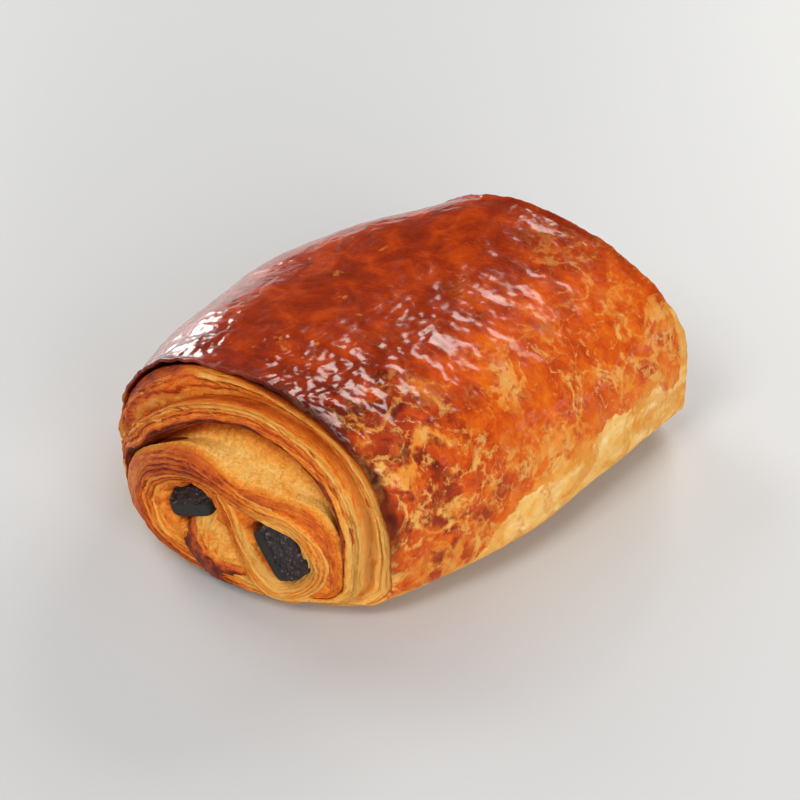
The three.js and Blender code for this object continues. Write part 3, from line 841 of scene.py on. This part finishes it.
def inner_turn(side):
    """A superellipse section on the face, as wide as the path says, with ridges and sheets across it for the
    layers. Where the ribbon is wide its inner side falls away."""
    eye, sign = end_of(side)
    seed = TURN_SEEDS[side]
    path, way, far = smooth_path(TURN, TURN_STATIONS)
    over = np.linspace(0, math.pi, TURN_TOP)
    under = np.linspace(math.pi, 2 * math.pi, TURN_UNDER + 2)[1:-1]
    around = np.concatenate([over, under])
    v, s = rounded(np.cos(around), TURN_POWER), rounded(np.sin(around), TURN_POWER)
    taper = TURN_POINT + (1 - TURN_POINT) * ease(far, 0, TURN_TAPER) * ease(far[-1] - far, 0, TURN_TAPER)
    half = path[:, 2] * taper * (1 + 0.06 * lumps(far, 0, 0, 7, seed))
    x = path[:, :1] + eye[0] - EYE_X + way[:, 1:] * half[:, None] * v
    z = path[:, 1:2] - way[:, :1] * half[:, None] * v

    far, v = np.meshgrid(far, v, indexing="ij")
    count, wander = turn_layers(far, v, seed)
    top = ease(s, 0.1, 0.7)
    lift = layer_value(count, seed) - 0.5 + 0.8 * lumps(far, 9 * np.floor(count), 0, 7, seed + 9)
    inward_fall = np.minimum(v + 0.3, 0) * 0.75 * np.maximum(path[:, 2:] - 2.4, 0)
    rise = top * (0.26 * ridge(count) + 0.4 * sheet(count) - 0.3 + 0.65 * lift + 0.3 * v + inward_fall)
    rise = rise + top * 0.12 * crags(x, 0, z, 1.5, seed + 4, 2)
    y = face_depth(side)(x, z) + sign * (TURN_RISE - TURN_ROOT + TURN_ROOT * s + rise)
    rings = np.stack([x, y, np.maximum(z, 0.3)], -1)

    # Painted shade: the valleys between the layers are darkened, over each layer's own random toast.
    toast_and_painted_light = 0.4 + 0.5 * (layer_value(count, seed + 6) - 0.5) + 0.42 * (1 - ridge(count)) + 0.08 * wander
    toast_and_painted_light += 0.26 * ease(v, 0.6, 0.95) - 0.1 * ease(-v, 0.4, 0.9)
    # Painted light: the right part of the turn is made paler.
    toast_and_painted_light += 0.12 * lumps(far, 0, 0, 16, seed + 8) - 0.36 * ease(x - eye[0], 10, 20)
    marks = {"toast_and_painted_light": np.clip(toast_and_painted_light, 0, 1), "crumb": np.zeros_like(toast_and_painted_light), "lamina": count}
    return closed_skin(f"turn_{side}", rings, marks)


turns = [inner_turn(side) for side in ("front", "back")]

# %% [markdown]
# ## Lobe between the batons
# Soft dough between the batons has nowhere to go but out, and it bakes to a small pale cushion of crumb
# with a browned lower edge. An egg shape with fine lumps, set into the face, is all it needs.

# %% Lobe of crumb, front and back
LOBE = {"x": 1.7, "z": 10.0, "long": 9.6, "short": 8.6, "deep": 5.4, "turn": 62.0, "sink": 3.8}
LOBE_ROWS, LOBE_SIDES = 90, 170
LOBE_SEEDS = {"front": 160, "back": 170}


def lobe(side):
    """Ellipsoid: sines and cosines of a slope and a turn times the three half sizes, plus crags. It browns
    towards the lower left, where it caught the heat."""
    eye, sign = end_of(side)
    seed = LOBE_SEEDS[side]
    slope = math.pi * np.linspace(0.02, 1, LOBE_ROWS, endpoint=False)[:, None] ** 0.8
    turn = np.linspace(0, 2 * math.pi, LOBE_SIDES, endpoint=False)[None]
    a = LOBE["long"] * np.sin(slope) * np.cos(turn)
    b = LOBE["short"] * np.sin(slope) * np.sin(turn)
    cos, sin = math.cos(math.radians(LOBE["turn"])), math.sin(math.radians(LOBE["turn"]))
    centre_x = LOBE["x"] + eye[0] - EYE_X
    x = centre_x + a * cos - b * sin
    z = LOBE["z"] + a * sin + b * cos
    bulge = 1 + 0.10 * lumps(x, z, 0, 6, seed) + 0.035 * lumps(x, z, 0, 2.2, seed + 1)
    middle_y = face_depth(side)(centre_x, LOBE["z"]) - sign * LOBE["sink"]
    y = middle_y - sign * LOBE["deep"] * np.cos(slope) * bulge
    y = y + sign * 0.22 * crags(x, 0, z, 1.3, seed + 2, 3)
    x = centre_x + (x - centre_x) * bulge
    z = LOBE["z"] + (z - LOBE["z"]) * bulge
    low_left = (-0.6 * (x - centre_x) - 1.3 * (z - LOBE["z"])) / 8
    low_left = low_left + 0.35 * crags(x, z, 0, 4, seed + 3, 3)
    toast_and_painted_light = 0.24 + 0.66 * ease(low_left, -0.9, 0.45) + 0.14 * lumps(x, z, 0, 2, seed + 4)
    rings = np.stack([x, y, z], -1)
    marks = {"toast_and_painted_light": np.clip(toast_and_painted_light, 0, 1), "crumb": 1 - ease(toast_and_painted_light, 0.25, 0.5)}
    return closed_skin(f"lobe_{side}", rings[::-1], marks)


lobes = [lobe(side) for side in ("front", "back")]

# %% [markdown]
# ## Batons
# Baking chocolate keeps its shape in the oven. Each end is broken rather than cut: a blunt ridge runs along
# the end, and one side of it is smooth while the other is rough and dull. The bar runs through the roll.
# A box with bevels would do for the bar, but superellipse sections have flat sides and round corners too, and
# their rows can be pinched to the ridge at the break.

# %% Chocolate batons
BATON_SIDES, BATON_ROWS = 120, 24
BREAK_ROWS, CAP_ROWS, CAP_START = 26, 8, 0.15
SMOOTH_RIDGE = 0.72
BREAK_DEPTH, BREAK_STEP = 1.0, 0.2
BATON_SEED = 200


def baton_rows():
    """y of each row and its size: end caps that grow from CAP_START to 1, breaks over CHISEL, and the bar."""
    cap = np.linspace(CAP_START, 1, CAP_ROWS, endpoint=False)
    chisel = CHISEL * np.linspace(0, 1, BREAK_ROWS)
    bar = np.linspace(-BATON_FRONT, BATON_BACK, BATON_ROWS)[2:-2]
    y = np.concatenate([np.full(CAP_ROWS, -BATON_FRONT), -BATON_FRONT + chisel, bar,
                        BATON_BACK - chisel[::-1], np.full(CAP_ROWS, BATON_BACK)])
    return y, np.concatenate([cap, np.ones(len(y) - 2 * CAP_ROWS), cap[::-1]])


def baton(name, place):
    """Superellipse sections along y. Near each end the thickness goes down to RIDGE above and SMOOTH_RIDGE
    below, and the width to NARROW, over CHISEL. Crags roughen the side above the ridge."""
    seed = BATON_SEED + len(name)
    y, size = baton_rows()
    into = np.clip(np.minimum(y + BATON_FRONT, BATON_BACK - y) / CHISEL, 0, 1) ** 0.9
    around = np.linspace(0, 2 * math.pi, BATON_SIDES, endpoint=False)[None]
    least = np.where(np.sin(around) > 0, RIDGE, SMOOTH_RIDGE)
    thin = (least + (1 - least) * into[:, None]) * size[:, None]
    narrow = (NARROW + (1 - NARROW) * into) * size
    a = BATON_WIDE / 2 * narrow[:, None] * rounded(np.cos(around), BATON_POWER)
    b = BATON_THICK / 2 * thin * rounded(np.sin(around), BATON_POWER)
    y = np.broadcast_to(y[:, None], a.shape)
    broken = ease(b, 0.2, 0.7)
    shift = -np.sign(y) * broken * (BREAK_DEPTH * crags(a, y, b, 1.5, seed, 3) - BREAK_STEP)
    a = a * (1 + 0.03 * lumps(a, y, b, 4, seed + 5))
    cos, sin = math.cos(math.radians(place["turn"])), math.sin(math.radians(place["turn"]))
    x = baton_axis_x(place, y) + a * cos - b * sin
    rings = np.stack([x, y + shift, place["z"] + a * sin + b * cos], -1)
    return closed_skin(f"{name}_bar", rings, {"broken": broken})


bars = {name: baton(name, place) for name, place in BATONS.items()}

# %% [markdown]
# ## Flakes
# Thin leaves of crust lift along the edges of the bands and break off. A particle system could scatter them,
# but it would put them anywhere. They are tiny closed slivers, curved a little, set with a seeded draw along
# the same band edges that the faces use.

# %% Loose flakes on the scrolls
FLAKE_ROWS, FLAKE_SIDES = 7, 6
FLAKES_PER_END = 110
FLAKE_SEEDS = {"front": 11, "back": 12}
FLAKE_ARC, FLAKE_EDGES = (14, 165), [2, 5, 6]
FLAKE_LONG, FLAKE_WIDE, FLAKE_THICK = (0.5, 1.7), (0.15, 0.45), 0.06
FLAKE_TIP, FLAKE_STRAY, FLAKE_LIFT = 0.92, 0.008, 0.35
FLAKE_TILT, FLAKE_BOW, FLAKE_TOAST = (0.1, 0.7), 0.25, (0.15, 0.75)


def flakes(side):
    """Slivers: a flat ellipse carried along a short arc. Place, length, width and tilt are drawn."""
    eye, sign = end_of(side)
    draw = np.random.default_rng(FLAKE_SEEDS[side])
    rim = barrel(even_angles(FACE_SIDES), np.full(FACE_SIDES, float(sign)))
    degrees = np.degrees(np.arctan2(rim[:, 2] - eye[2], rim[:, 0] - eye[0]))
    share, height, _ = band_edges(degrees)
    order = np.argsort(degrees)
    spots = draw.uniform(*FLAKE_ARC, FLAKES_PER_END)
    column = order[np.searchsorted(degrees[order], spots).clip(0, FACE_SIDES - 1)]
    level = draw.choice(FLAKE_EDGES, FLAKES_PER_END)
    reach = share[level, column] + draw.normal(0, FLAKE_STRAY, FLAKES_PER_END)
    rise = height[level, column] + draw.uniform(0.0, FLAKE_LIFT, FLAKES_PER_END)
    at = dome_point(eye, sign, rim[column], reach, rise)
    out = at - eye
    out[:, 1] = 0
    out /= np.linalg.norm(out, axis=1, keepdims=True)
    facing = np.broadcast_to(np.array([0, sign, 0]), out.shape)
    lengthwise = np.cross(out, facing)
    tilt = draw.uniform(*FLAKE_TILT, (FLAKES_PER_END, 1))
    across = np.cos(tilt) * out + np.sin(tilt) * facing
    thick = np.cross(lengthwise, across)
    u = np.linspace(-FLAKE_TIP, FLAKE_TIP, FLAKE_ROWS)[None, :, None, None]
    turn = np.linspace(0, 2 * math.pi, FLAKE_SIDES, endpoint=False)[None, None, :, None]
    long = draw.uniform(*FLAKE_LONG, (FLAKES_PER_END, 1, 1, 1))
    wide = draw.uniform(*FLAKE_WIDE, (FLAKES_PER_END, 1, 1, 1)) * np.sqrt(1 - u ** 2)
    thin = FLAKE_THICK * np.sqrt(1 - u ** 2)
    bow = draw.uniform(-FLAKE_BOW, FLAKE_BOW, (FLAKES_PER_END, 1, 1, 1)) * long * u ** 2
    rows = at[:, None, None] + lengthwise[:, None, None] * long * u
    rows = rows + across[:, None, None] * (wide * np.cos(turn) + bow)
    rows = rows + thick[:, None, None] * thin * np.sin(turn)
    brown = np.broadcast_to(draw.uniform(*FLAKE_TOAST, (FLAKES_PER_END, 1, 1)), rows.shape[:3])
    return many_skins(f"flakes_{side}", rows, {"toast_and_painted_light": brown, "crumb": np.zeros_like(brown)})


flake_pieces = [flakes(side) for side in ("front", "back")]

# %% [markdown]
# ## Finishes
# A finish is a small network of nodes. The numbers that the pieces carry say how brown a place is, and noise
# in the piece's own coordinates breaks that up at sizes too fine for the mesh. A network is hard to read when
# each node and link takes a line of its own. So a small class holds the network and has a short name for each
# of the few nodes in use, and what a finish works out then reads like a sum on paper.

# %% A finish and its nodes
VEIN_SOFTNESS = (0.022, -0.026)


def srgb(red, green, blue):
    """Linear colour of a screen colour: each value over 255, as ((v + 0.055) / 1.055) to the power 2.4."""
    shades = (np.array([red, green, blue]) / 255 + 0.055) / 1.055
    return (*(shades ** 2.4), 1.0)


class Finish:
    """One material. Each method adds a node and gives its output. What goes in is a number, a colour, or the
    output of another node."""

    def __init__(self, name):
        """A new material, with its shader and the coordinates of the piece that wears it."""
        self.material = bpy.data.materials.new(name)
        self.material.use_nodes = True
        self.tree = self.material.node_tree
        self.shader = self.tree.nodes["Principled BSDF"]
        self.where = self.node("ShaderNodeTexCoord", {}).outputs["Object"]

    def feed(self, socket, value):
        """Joins another node's output to a socket, or sets the socket to a number or colour."""
        if isinstance(value, bpy.types.NodeSocket):
            self.tree.links.new(value, socket)
        else:
            socket.default_value = value

    def node(self, kind, inputs, **settings):
        """A node with its settings made and its inputs fed."""
        node = self.tree.nodes.new(kind)
        for key, value in settings.items():
            setattr(node, key, value)
        for key, value in inputs.items():
            self.feed(node.inputs[key], value)
        return node

    def mark(self, name):
        """The number that the piece's points carry under a name."""
        return self.node("ShaderNodeAttribute", {}, attribute_name=name).outputs["Fac"]

    def noise(self, size, detail=3.0, rough=0.55, warp=0.0, where=None):
        """Noise from 0 to 1 with lumps of a size in mm. The scale is lumps to the metre, 1000 over size."""
        where = self.where if where is None else where
        inputs = {"Vector": where, "Scale": 1000 / size, "Detail": detail, "Roughness": rough}
        return self.node("ShaderNodeTexNoise", {**inputs, "Distortion": warp}).outputs["Fac"]

    def stretched(self, scale, turn=(0.0, 0.0, 0.0)):
        """The piece's coordinates scaled by three factors and turned, which draws noise out one way."""
        inputs = {"Vector": self.where, "Scale": scale, "Rotation": turn}
        return self.node("ShaderNodeMapping", inputs).outputs["Vector"]

    def result(self, operation, a, b=0.0, c=0.0):
        """The result of one operation on up to three values."""
        return self.node("ShaderNodeMath", {0: a, 1: b, 2: c}, operation=operation).outputs[0]

    def add(self, a, b):
        """a + b."""
        return self.result("ADD", a, b)

    def less(self, a, b):
        """a - b."""
        return self.result("SUBTRACT", a, b)

    def times(self, a, b):
        """a times b."""
        return self.result("MULTIPLY", a, b)

    def times_add(self, a, factor, base):
        """a times a factor, plus a base."""
        return self.result("MULTIPLY_ADD", a, factor, base)

    def most(self, a, b):
        """The larger of a and b."""
        return self.result("MAXIMUM", a, b)

    def step(self, value, low, high):
        """0 below low and 1 above high, or the other way round if low is over high, with a soft edge."""
        inputs = {"Value": value, "From Min": low, "From Max": high}
        return self.node("ShaderNodeMapRange", inputs, interpolation_type="SMOOTHSTEP").outputs["Result"]

    def veins(self, value, reach):
        """Lines where a noise passes 0.5: 1 on the line, and 0 where the noise is farther off than reach."""
        off = self.result("ABSOLUTE", self.add(value, -0.5))
        return self.step(self.less(off, reach), *VEIN_SOFTNESS)

    def ramp(self, value, stops):
        """Colours at places from 0 to 1, evenly blended between."""
        node = self.node("ShaderNodeValToRGB", {"Fac": value})
        for place, _ in stops[1:-1]:
            node.color_ramp.elements.new(place)
        for element, (place, colour) in zip(node.color_ramp.elements, stops):
            element.position = place
            element.color = srgb(*colour)
        return node.outputs["Color"]

    def mixed(self, share, a, b, blend_type="MIX"):
        """Colour a with a share of colour b over it. The colour sockets of this node are 6 and 7."""
        inputs = {0: share, 6: a, 7: b}
        return self.node("ShaderNodeMix", inputs, data_type="RGBA", blend_type=blend_type).outputs[2]

    def bump(self, height, distance, strength, under=None):
        """The surface's tilt for a height from 0 to 1 that stands for a distance in mm, over another bump."""
        inputs = {"Height": height, "Distance": distance * MM, "Strength": strength}
        if under is not None:
            inputs["Normal"] = under
        return self.node("ShaderNodeBump", inputs).outputs["Normal"]

    def shade(self, **inputs):
        """Feeds the shader's own inputs, by their names with underscores for spaces. Gives the material."""
        for key, value in inputs.items():
            self.feed(self.shader.inputs[key.replace("_", " ")], value)
        return self.material


# %% [markdown]
# ### Crust
# The egg wash covers the top and stops in scallops on the flank. Under it the colour goes from golden orange
# to deep red-brown, and where the crust grew the wash tore: pale veins show between brown islands.
# Below the wash the dough is matt and pale gold. A clear coat on the shader is the gloss of the wash.
# A tear could be painted as a line, but noise does it for the whole crust: each tear is where a slow noise
# passes its middle value, and other noise makes it wide here and lets it run out there.

# %% Tears and tone of the egg wash
WASH_COLOURS = [(0.12, (242, 160, 54)), (0.3, (226, 106, 8)), (0.5, (202, 73, 4)), (0.74, (152, 44, 4)),
                (1.0, (104, 26, 6))]
PALE_COLOURS = [(0.28, (232, 142, 48)), (0.42, (246, 184, 92)), (0.58, (252, 208, 132)),
                (0.74, (255, 238, 196))]
TEAR_DARK, TEAR_LIGHT = srgb(232, 146, 56), srgb(242, 184, 98)
HALO_ORANGE, SPOT_GOLD, BURNT = srgb(234, 134, 34), srgb(228, 138, 66), srgb(66, 20, 12)


def wash_tears(skin, torn, blotch):
    """Shares of the tears and of the orange halo beside the wide ones. How far a tear reaches to both sides
    is a slow noise plus a fine one for its frayed edge, plus a little of torn, less a fixed amount."""
    patch = skin.noise(13, 3, 0.6)
    frayed = skin.noise(1.1, 4, 0.65)
    reach = skin.times_add(patch, 0.3, skin.times_add(torn, 0.04, -0.265))
    reach = skin.times_add(frayed, 0.17, reach)
    tears = skin.noise(11, 3, 0.55, 0.5)
    wide = skin.veins(tears, reach)
    halo = skin.veins(tears, skin.add(reach, 0.03))
    reach = skin.times_add(blotch, 0.25, skin.times_add(torn, 0.05, -0.26))
    reach = skin.times_add(frayed, 0.17, reach)
    fine = skin.veins(skin.noise(5.5, 3, 0.55, 0.4), reach)
    film = skin.step(skin.noise(7, 5, 0.62, 0.3), 0.53, 0.7)
    thin = skin.most(skin.times(fine, 0.75), skin.times(film, 0.45))
    return skin.times(skin.most(wide, thin), torn), skin.times(halo, torn)


def wash_tone(skin, blotch, grain):
    """How dark the wash is: the bake plus noise of three sizes less their middle values, and more on brown
    islands where the crust is patchy."""
    broad = skin.noise(18, 3)
    island = skin.step(skin.noise(5, 3, 0.55, 0.4), 0.42, 0.62)
    tone = skin.times_add(broad, 0.35, skin.times(blotch, 0.85))
    tone = skin.times_add(skin.times(island, skin.mark("patchy")), 0.36, tone)
    tone = skin.add(tone, skin.add(skin.mark("bake"), -0.62))
    return skin.times_add(grain, 0.2, skin.add(tone, -0.1))


# %% [markdown]
# The gloss comes from three places. The coat is thick on well-baked wash and thin on tears, bare dough and
# the burnt rim. Puckers of three millimetres break the long highlights, and fine wrinkles make them sparkle.

# %% Finish of the crust
def crust_gloss(skin, washed, vein, grain):
    """Shader inputs of the gloss: three bumps over one another, roughness that goes up where the wash is
    off, and a coat whose weight follows the bake and goes down where it is off or burnt."""
    char = skin.mark("char")
    wrinkle = skin.noise(1.3, 4, 0.52, 0.4, skin.stretched((1.0, 1.7, 1.3), (0.0, 0.0, 0.5)))
    normal = skin.bump(skin.noise(3.2, 3, 0.5), 0.42, 0.5)
    normal = skin.bump(skin.less(1.0, vein), 0.25, 0.5, normal)
    normal = skin.bump(wrinkle, 0.25, 0.62, normal)
    dull = skin.most(skin.less(1.0, washed), skin.times(vein, 0.6))
    rough = skin.times_add(dull, 0.3, skin.times_add(grain, 0.2, 0.24))
    thick = skin.times(skin.step(skin.mark("bake"), 0.42, 0.64), skin.less(1.0, char))
    coat = skin.times_add(dull, -0.34, skin.times_add(thick, 0.54, 0.36))
    coat = skin.times(coat, skin.times_add(char, -0.75, 1.0))
    return {"Normal": normal, "Roughness": rough, "Coat_Weight": coat, "Coat_Roughness": 0.15,
            "Coat_IOR": 1.48, "Specular_IOR_Level": 0.04}


def crust_finish():
    """The colour of the wash over that of the pale dough, with halo, tears, spots and the burnt rim laid over
    it in that order, each by its own share."""
    skin = Finish("egg_washed_crust")
    torn = skin.mark("torn")
    blotch = skin.noise(6, 5, 0.6, 0.6)
    grain = skin.noise(0.8, 4, 0.6)
    fringe = skin.noise(2.2, 5, 0.65, 0.5)
    washed = skin.step(skin.times_add(fringe, 3.0, skin.add(skin.mark("wash"), -1.5)), -0.35, 0.35)
    vein, halo = wash_tears(skin, torn, blotch)
    spot = skin.times(skin.step(skin.noise(4.5, 3, 0.6, 0.5), 0.64, 0.74), washed)
    wash_colour = skin.ramp(wash_tone(skin, blotch, grain), WASH_COLOURS)
    pale_tone = skin.noise(5, 5, 0.6, 0.6, skin.stretched((1.0, 0.6, 1.0)))
    colour = skin.mixed(washed, skin.ramp(pale_tone, PALE_COLOURS), wash_colour)
    tear_colour = skin.mixed(skin.step(blotch, 0.4, 0.6), TEAR_DARK, TEAR_LIGHT)
    for place, share, paint in [(halo, 0.36, HALO_ORANGE), (vein, 0.68, tear_colour), (spot, 0.5, SPOT_GOLD),
                                (skin.mark("char"), 0.8, BURNT)]:
        colour = skin.mixed(skin.times(place, share), colour, paint)
    return skin.shade(Base_Color=colour, Subsurface_Weight=0.06, Subsurface_Scale=0.0015,
                      **crust_gloss(skin, washed, vein, grain))


# %% [markdown]
# ### Layers and crumb
# The cut layers are matt and go from cream through golden orange to red-brown where an edge caught the heat.
# The crumb is pale, and its fine pores get painted shade. One network serves faces, turns, lobes and flakes,
# as it reads how toasted each point is, a number that also holds painted shade and painted light, and
# whether it is crumb. The paper-thin leaves inside each layer are too fine for the mesh: noise read at the
# layer's own number is the same all along a leaf and changes from leaf to leaf.

# %% Finish of the layers
LAYER_COLOURS = [(0.0, (255, 204, 116)), (0.2, (253, 174, 70)), (0.4, (240, 134, 32)), (0.6, (210, 92, 18)),
                 (0.8, (154, 56, 14)), (1.0, (88, 34, 16))]
SHEET_TINT, PORE_SHADE = srgb(255, 236, 204), srgb(212, 138, 56)
LEAF_WANDER, LEAVES = 90.0, 4.4


def leaf_shade(dough, sheets):
    """Noise about 0 at the layer number plus the point's place times LEAF_WANDER, on the sheets only."""
    slow = dough.node("ShaderNodeVectorMath", {0: dough.where, "Scale": LEAF_WANDER}, operation="SCALE")
    number = dough.node("ShaderNodeCombineXYZ", {"X": dough.mark("lamina")}).outputs["Vector"]
    place = dough.node("ShaderNodeVectorMath", {0: number, 1: slow.outputs["Vector"]}, operation="ADD")
    inputs = {"Vector": place.outputs["Vector"], "Scale": LEAVES, "Detail": 5.0, "Roughness": 0.72}
    return dough.times(dough.add(dough.node("ShaderNodeTexNoise", inputs).outputs["Fac"], -0.5), sheets)


def layer_finish():
    """Tone: toast plus noise of four kinds, each less its middle value; the toast mark also holds painted
    shade
    and painted light. Colour: the ramp at the tone, tinted on the sheets, with painted shade in the pores of
    the crumb. The same noise makes the bumps."""
    dough = Finish("baked_layers")
    crumb = dough.mark("crumb")
    sheets = dough.less(1.0, crumb)
    mottle = dough.noise(3, 5, 0.65)
    grain = dough.noise(0.5, 3, 0.65)
    streak = dough.noise(1.6, 4, 0.6, where=dough.stretched((1.0, 3.0, 1.0)))
    leaf = leaf_shade(dough, sheets)
    tone = dough.times_add(mottle, 0.5, dough.add(dough.mark("toast_and_painted_light"), -0.25))
    tone = dough.times_add(dough.add(grain, -0.5), dough.times_add(crumb, 0.3, 0.34), tone)
    tone = dough.times_add(streak, 0.16, dough.add(tone, -0.08))
    tone = dough.times_add(leaf, 1.15, tone)
    colour = dough.mixed(dough.times(sheets, 0.7), dough.ramp(tone, LAYER_COLOURS), SHEET_TINT, "MULTIPLY")
    # Painted shade: the pores of the crumb are darkened.
    pore_shade = dough.times(dough.step(dough.noise(0.9, 3, 0.7), 0.46, 0.3), crumb)
    colour = dough.mixed(dough.times(pore_shade, 0.5), colour, PORE_SHADE)
    normal = dough.bump(streak, 0.16, 0.5)
    normal = dough.bump(leaf, 0.5, 0.9, normal)
    normal = dough.bump(grain, 0.34, 1.0, normal)
    normal = dough.bump(dough.times(dough.noise(1.2, 4, 0.7), crumb), 0.7, 1.0, normal)
    rough = dough.times_add(mottle, 0.3, dough.times_add(crumb, 0.2, 0.36))
    return dough.shade(Base_Color=colour, Roughness=rough, Normal=normal, Specular_IOR_Level=0.3,
                       Subsurface_Weight=0.12, Subsurface_Scale=0.002)


# %% [markdown]
# ### Chocolate
# Baked chocolate is almost black, a little purple and dull where it broke, and smooth and grey-brown where
# the bar's face was. Only the roughness, the fine bump and a slight lift in colour tell the two apart. The
# broken faces lie on the upper, lit side, and their lift in colour and pale specks are partly painted light.

# %% Finish of the chocolate
BAR_DARK, BREAK_DARK_AND_LIT, GRIT_AND_GLINT = srgb(20, 15, 14), srgb(36, 26, 26), srgb(112, 88, 90)


def chocolate_finish():
    """Broken faces are rougher than the bar's own, and a little lighter with pale specks: grit, and partly
    painted light on the lit upper side.
    """
    bar = Finish("dark_chocolate")
    broken = bar.mark("broken")
    lump = bar.noise(1.4, 5, 0.65)
    grit = bar.noise(0.6, 4, 0.65)
    # Partly painted light: the broken upper side is lighter, and its pale specks are grit and painted
    # highlights.
    colour = bar.mixed(broken, BAR_DARK, BREAK_DARK_AND_LIT)
    colour = bar.mixed(bar.times(bar.step(grit, 0.54, 0.68), broken), colour, GRIT_AND_GLINT)
    normal = bar.bump(lump, 0.3, 0.6)
    normal = bar.bump(bar.times(grit, broken), 0.4, 0.8, normal)
    rough = bar.times_add(broken, 0.1, bar.times_add(lump, 0.2, 0.26))
    return bar.shade(Base_Color=colour, Roughness=rough, Normal=normal, Specular_IOR_Level=0.36)


# %% [markdown]
# ### Table, and who wears what
# The table is one plain pale grey with a dull sheen. All dough that isn't crust shares one finish.

# %% Finish of the table, and each piece gets its own
TABLE_GREY = srgb(206, 207, 208)


def table_finish():
    """One colour and one roughness all over."""
    return Finish("pale_table").shade(Base_Color=TABLE_GREY, Roughness=0.45)


pastry_ends = scrolls + turns + lobes + flake_pieces
finishes = [([crust], crust_finish()), (pastry_ends, layer_finish()),
            (list(bars.values()), chocolate_finish()), ([table], table_finish())]
for pieces, material in finishes:
    for piece in pieces:
        piece.data.materials.append(material)
print("finishes:", sorted(material.name for material in bpy.data.materials))

# %% [markdown]
# ## Back to the construction model
# Every piece moves with a body, and the part of the construction model that it stands for is hidden.
# The pastry has no joints, so there is one body.

# %% Bodies, and the hidden parts
for piece in [crust] + pastry_ends:
    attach(piece, "root")
    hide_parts("dough")
for name, bar in bars.items():
    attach(bar, "root")
    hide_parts(name)
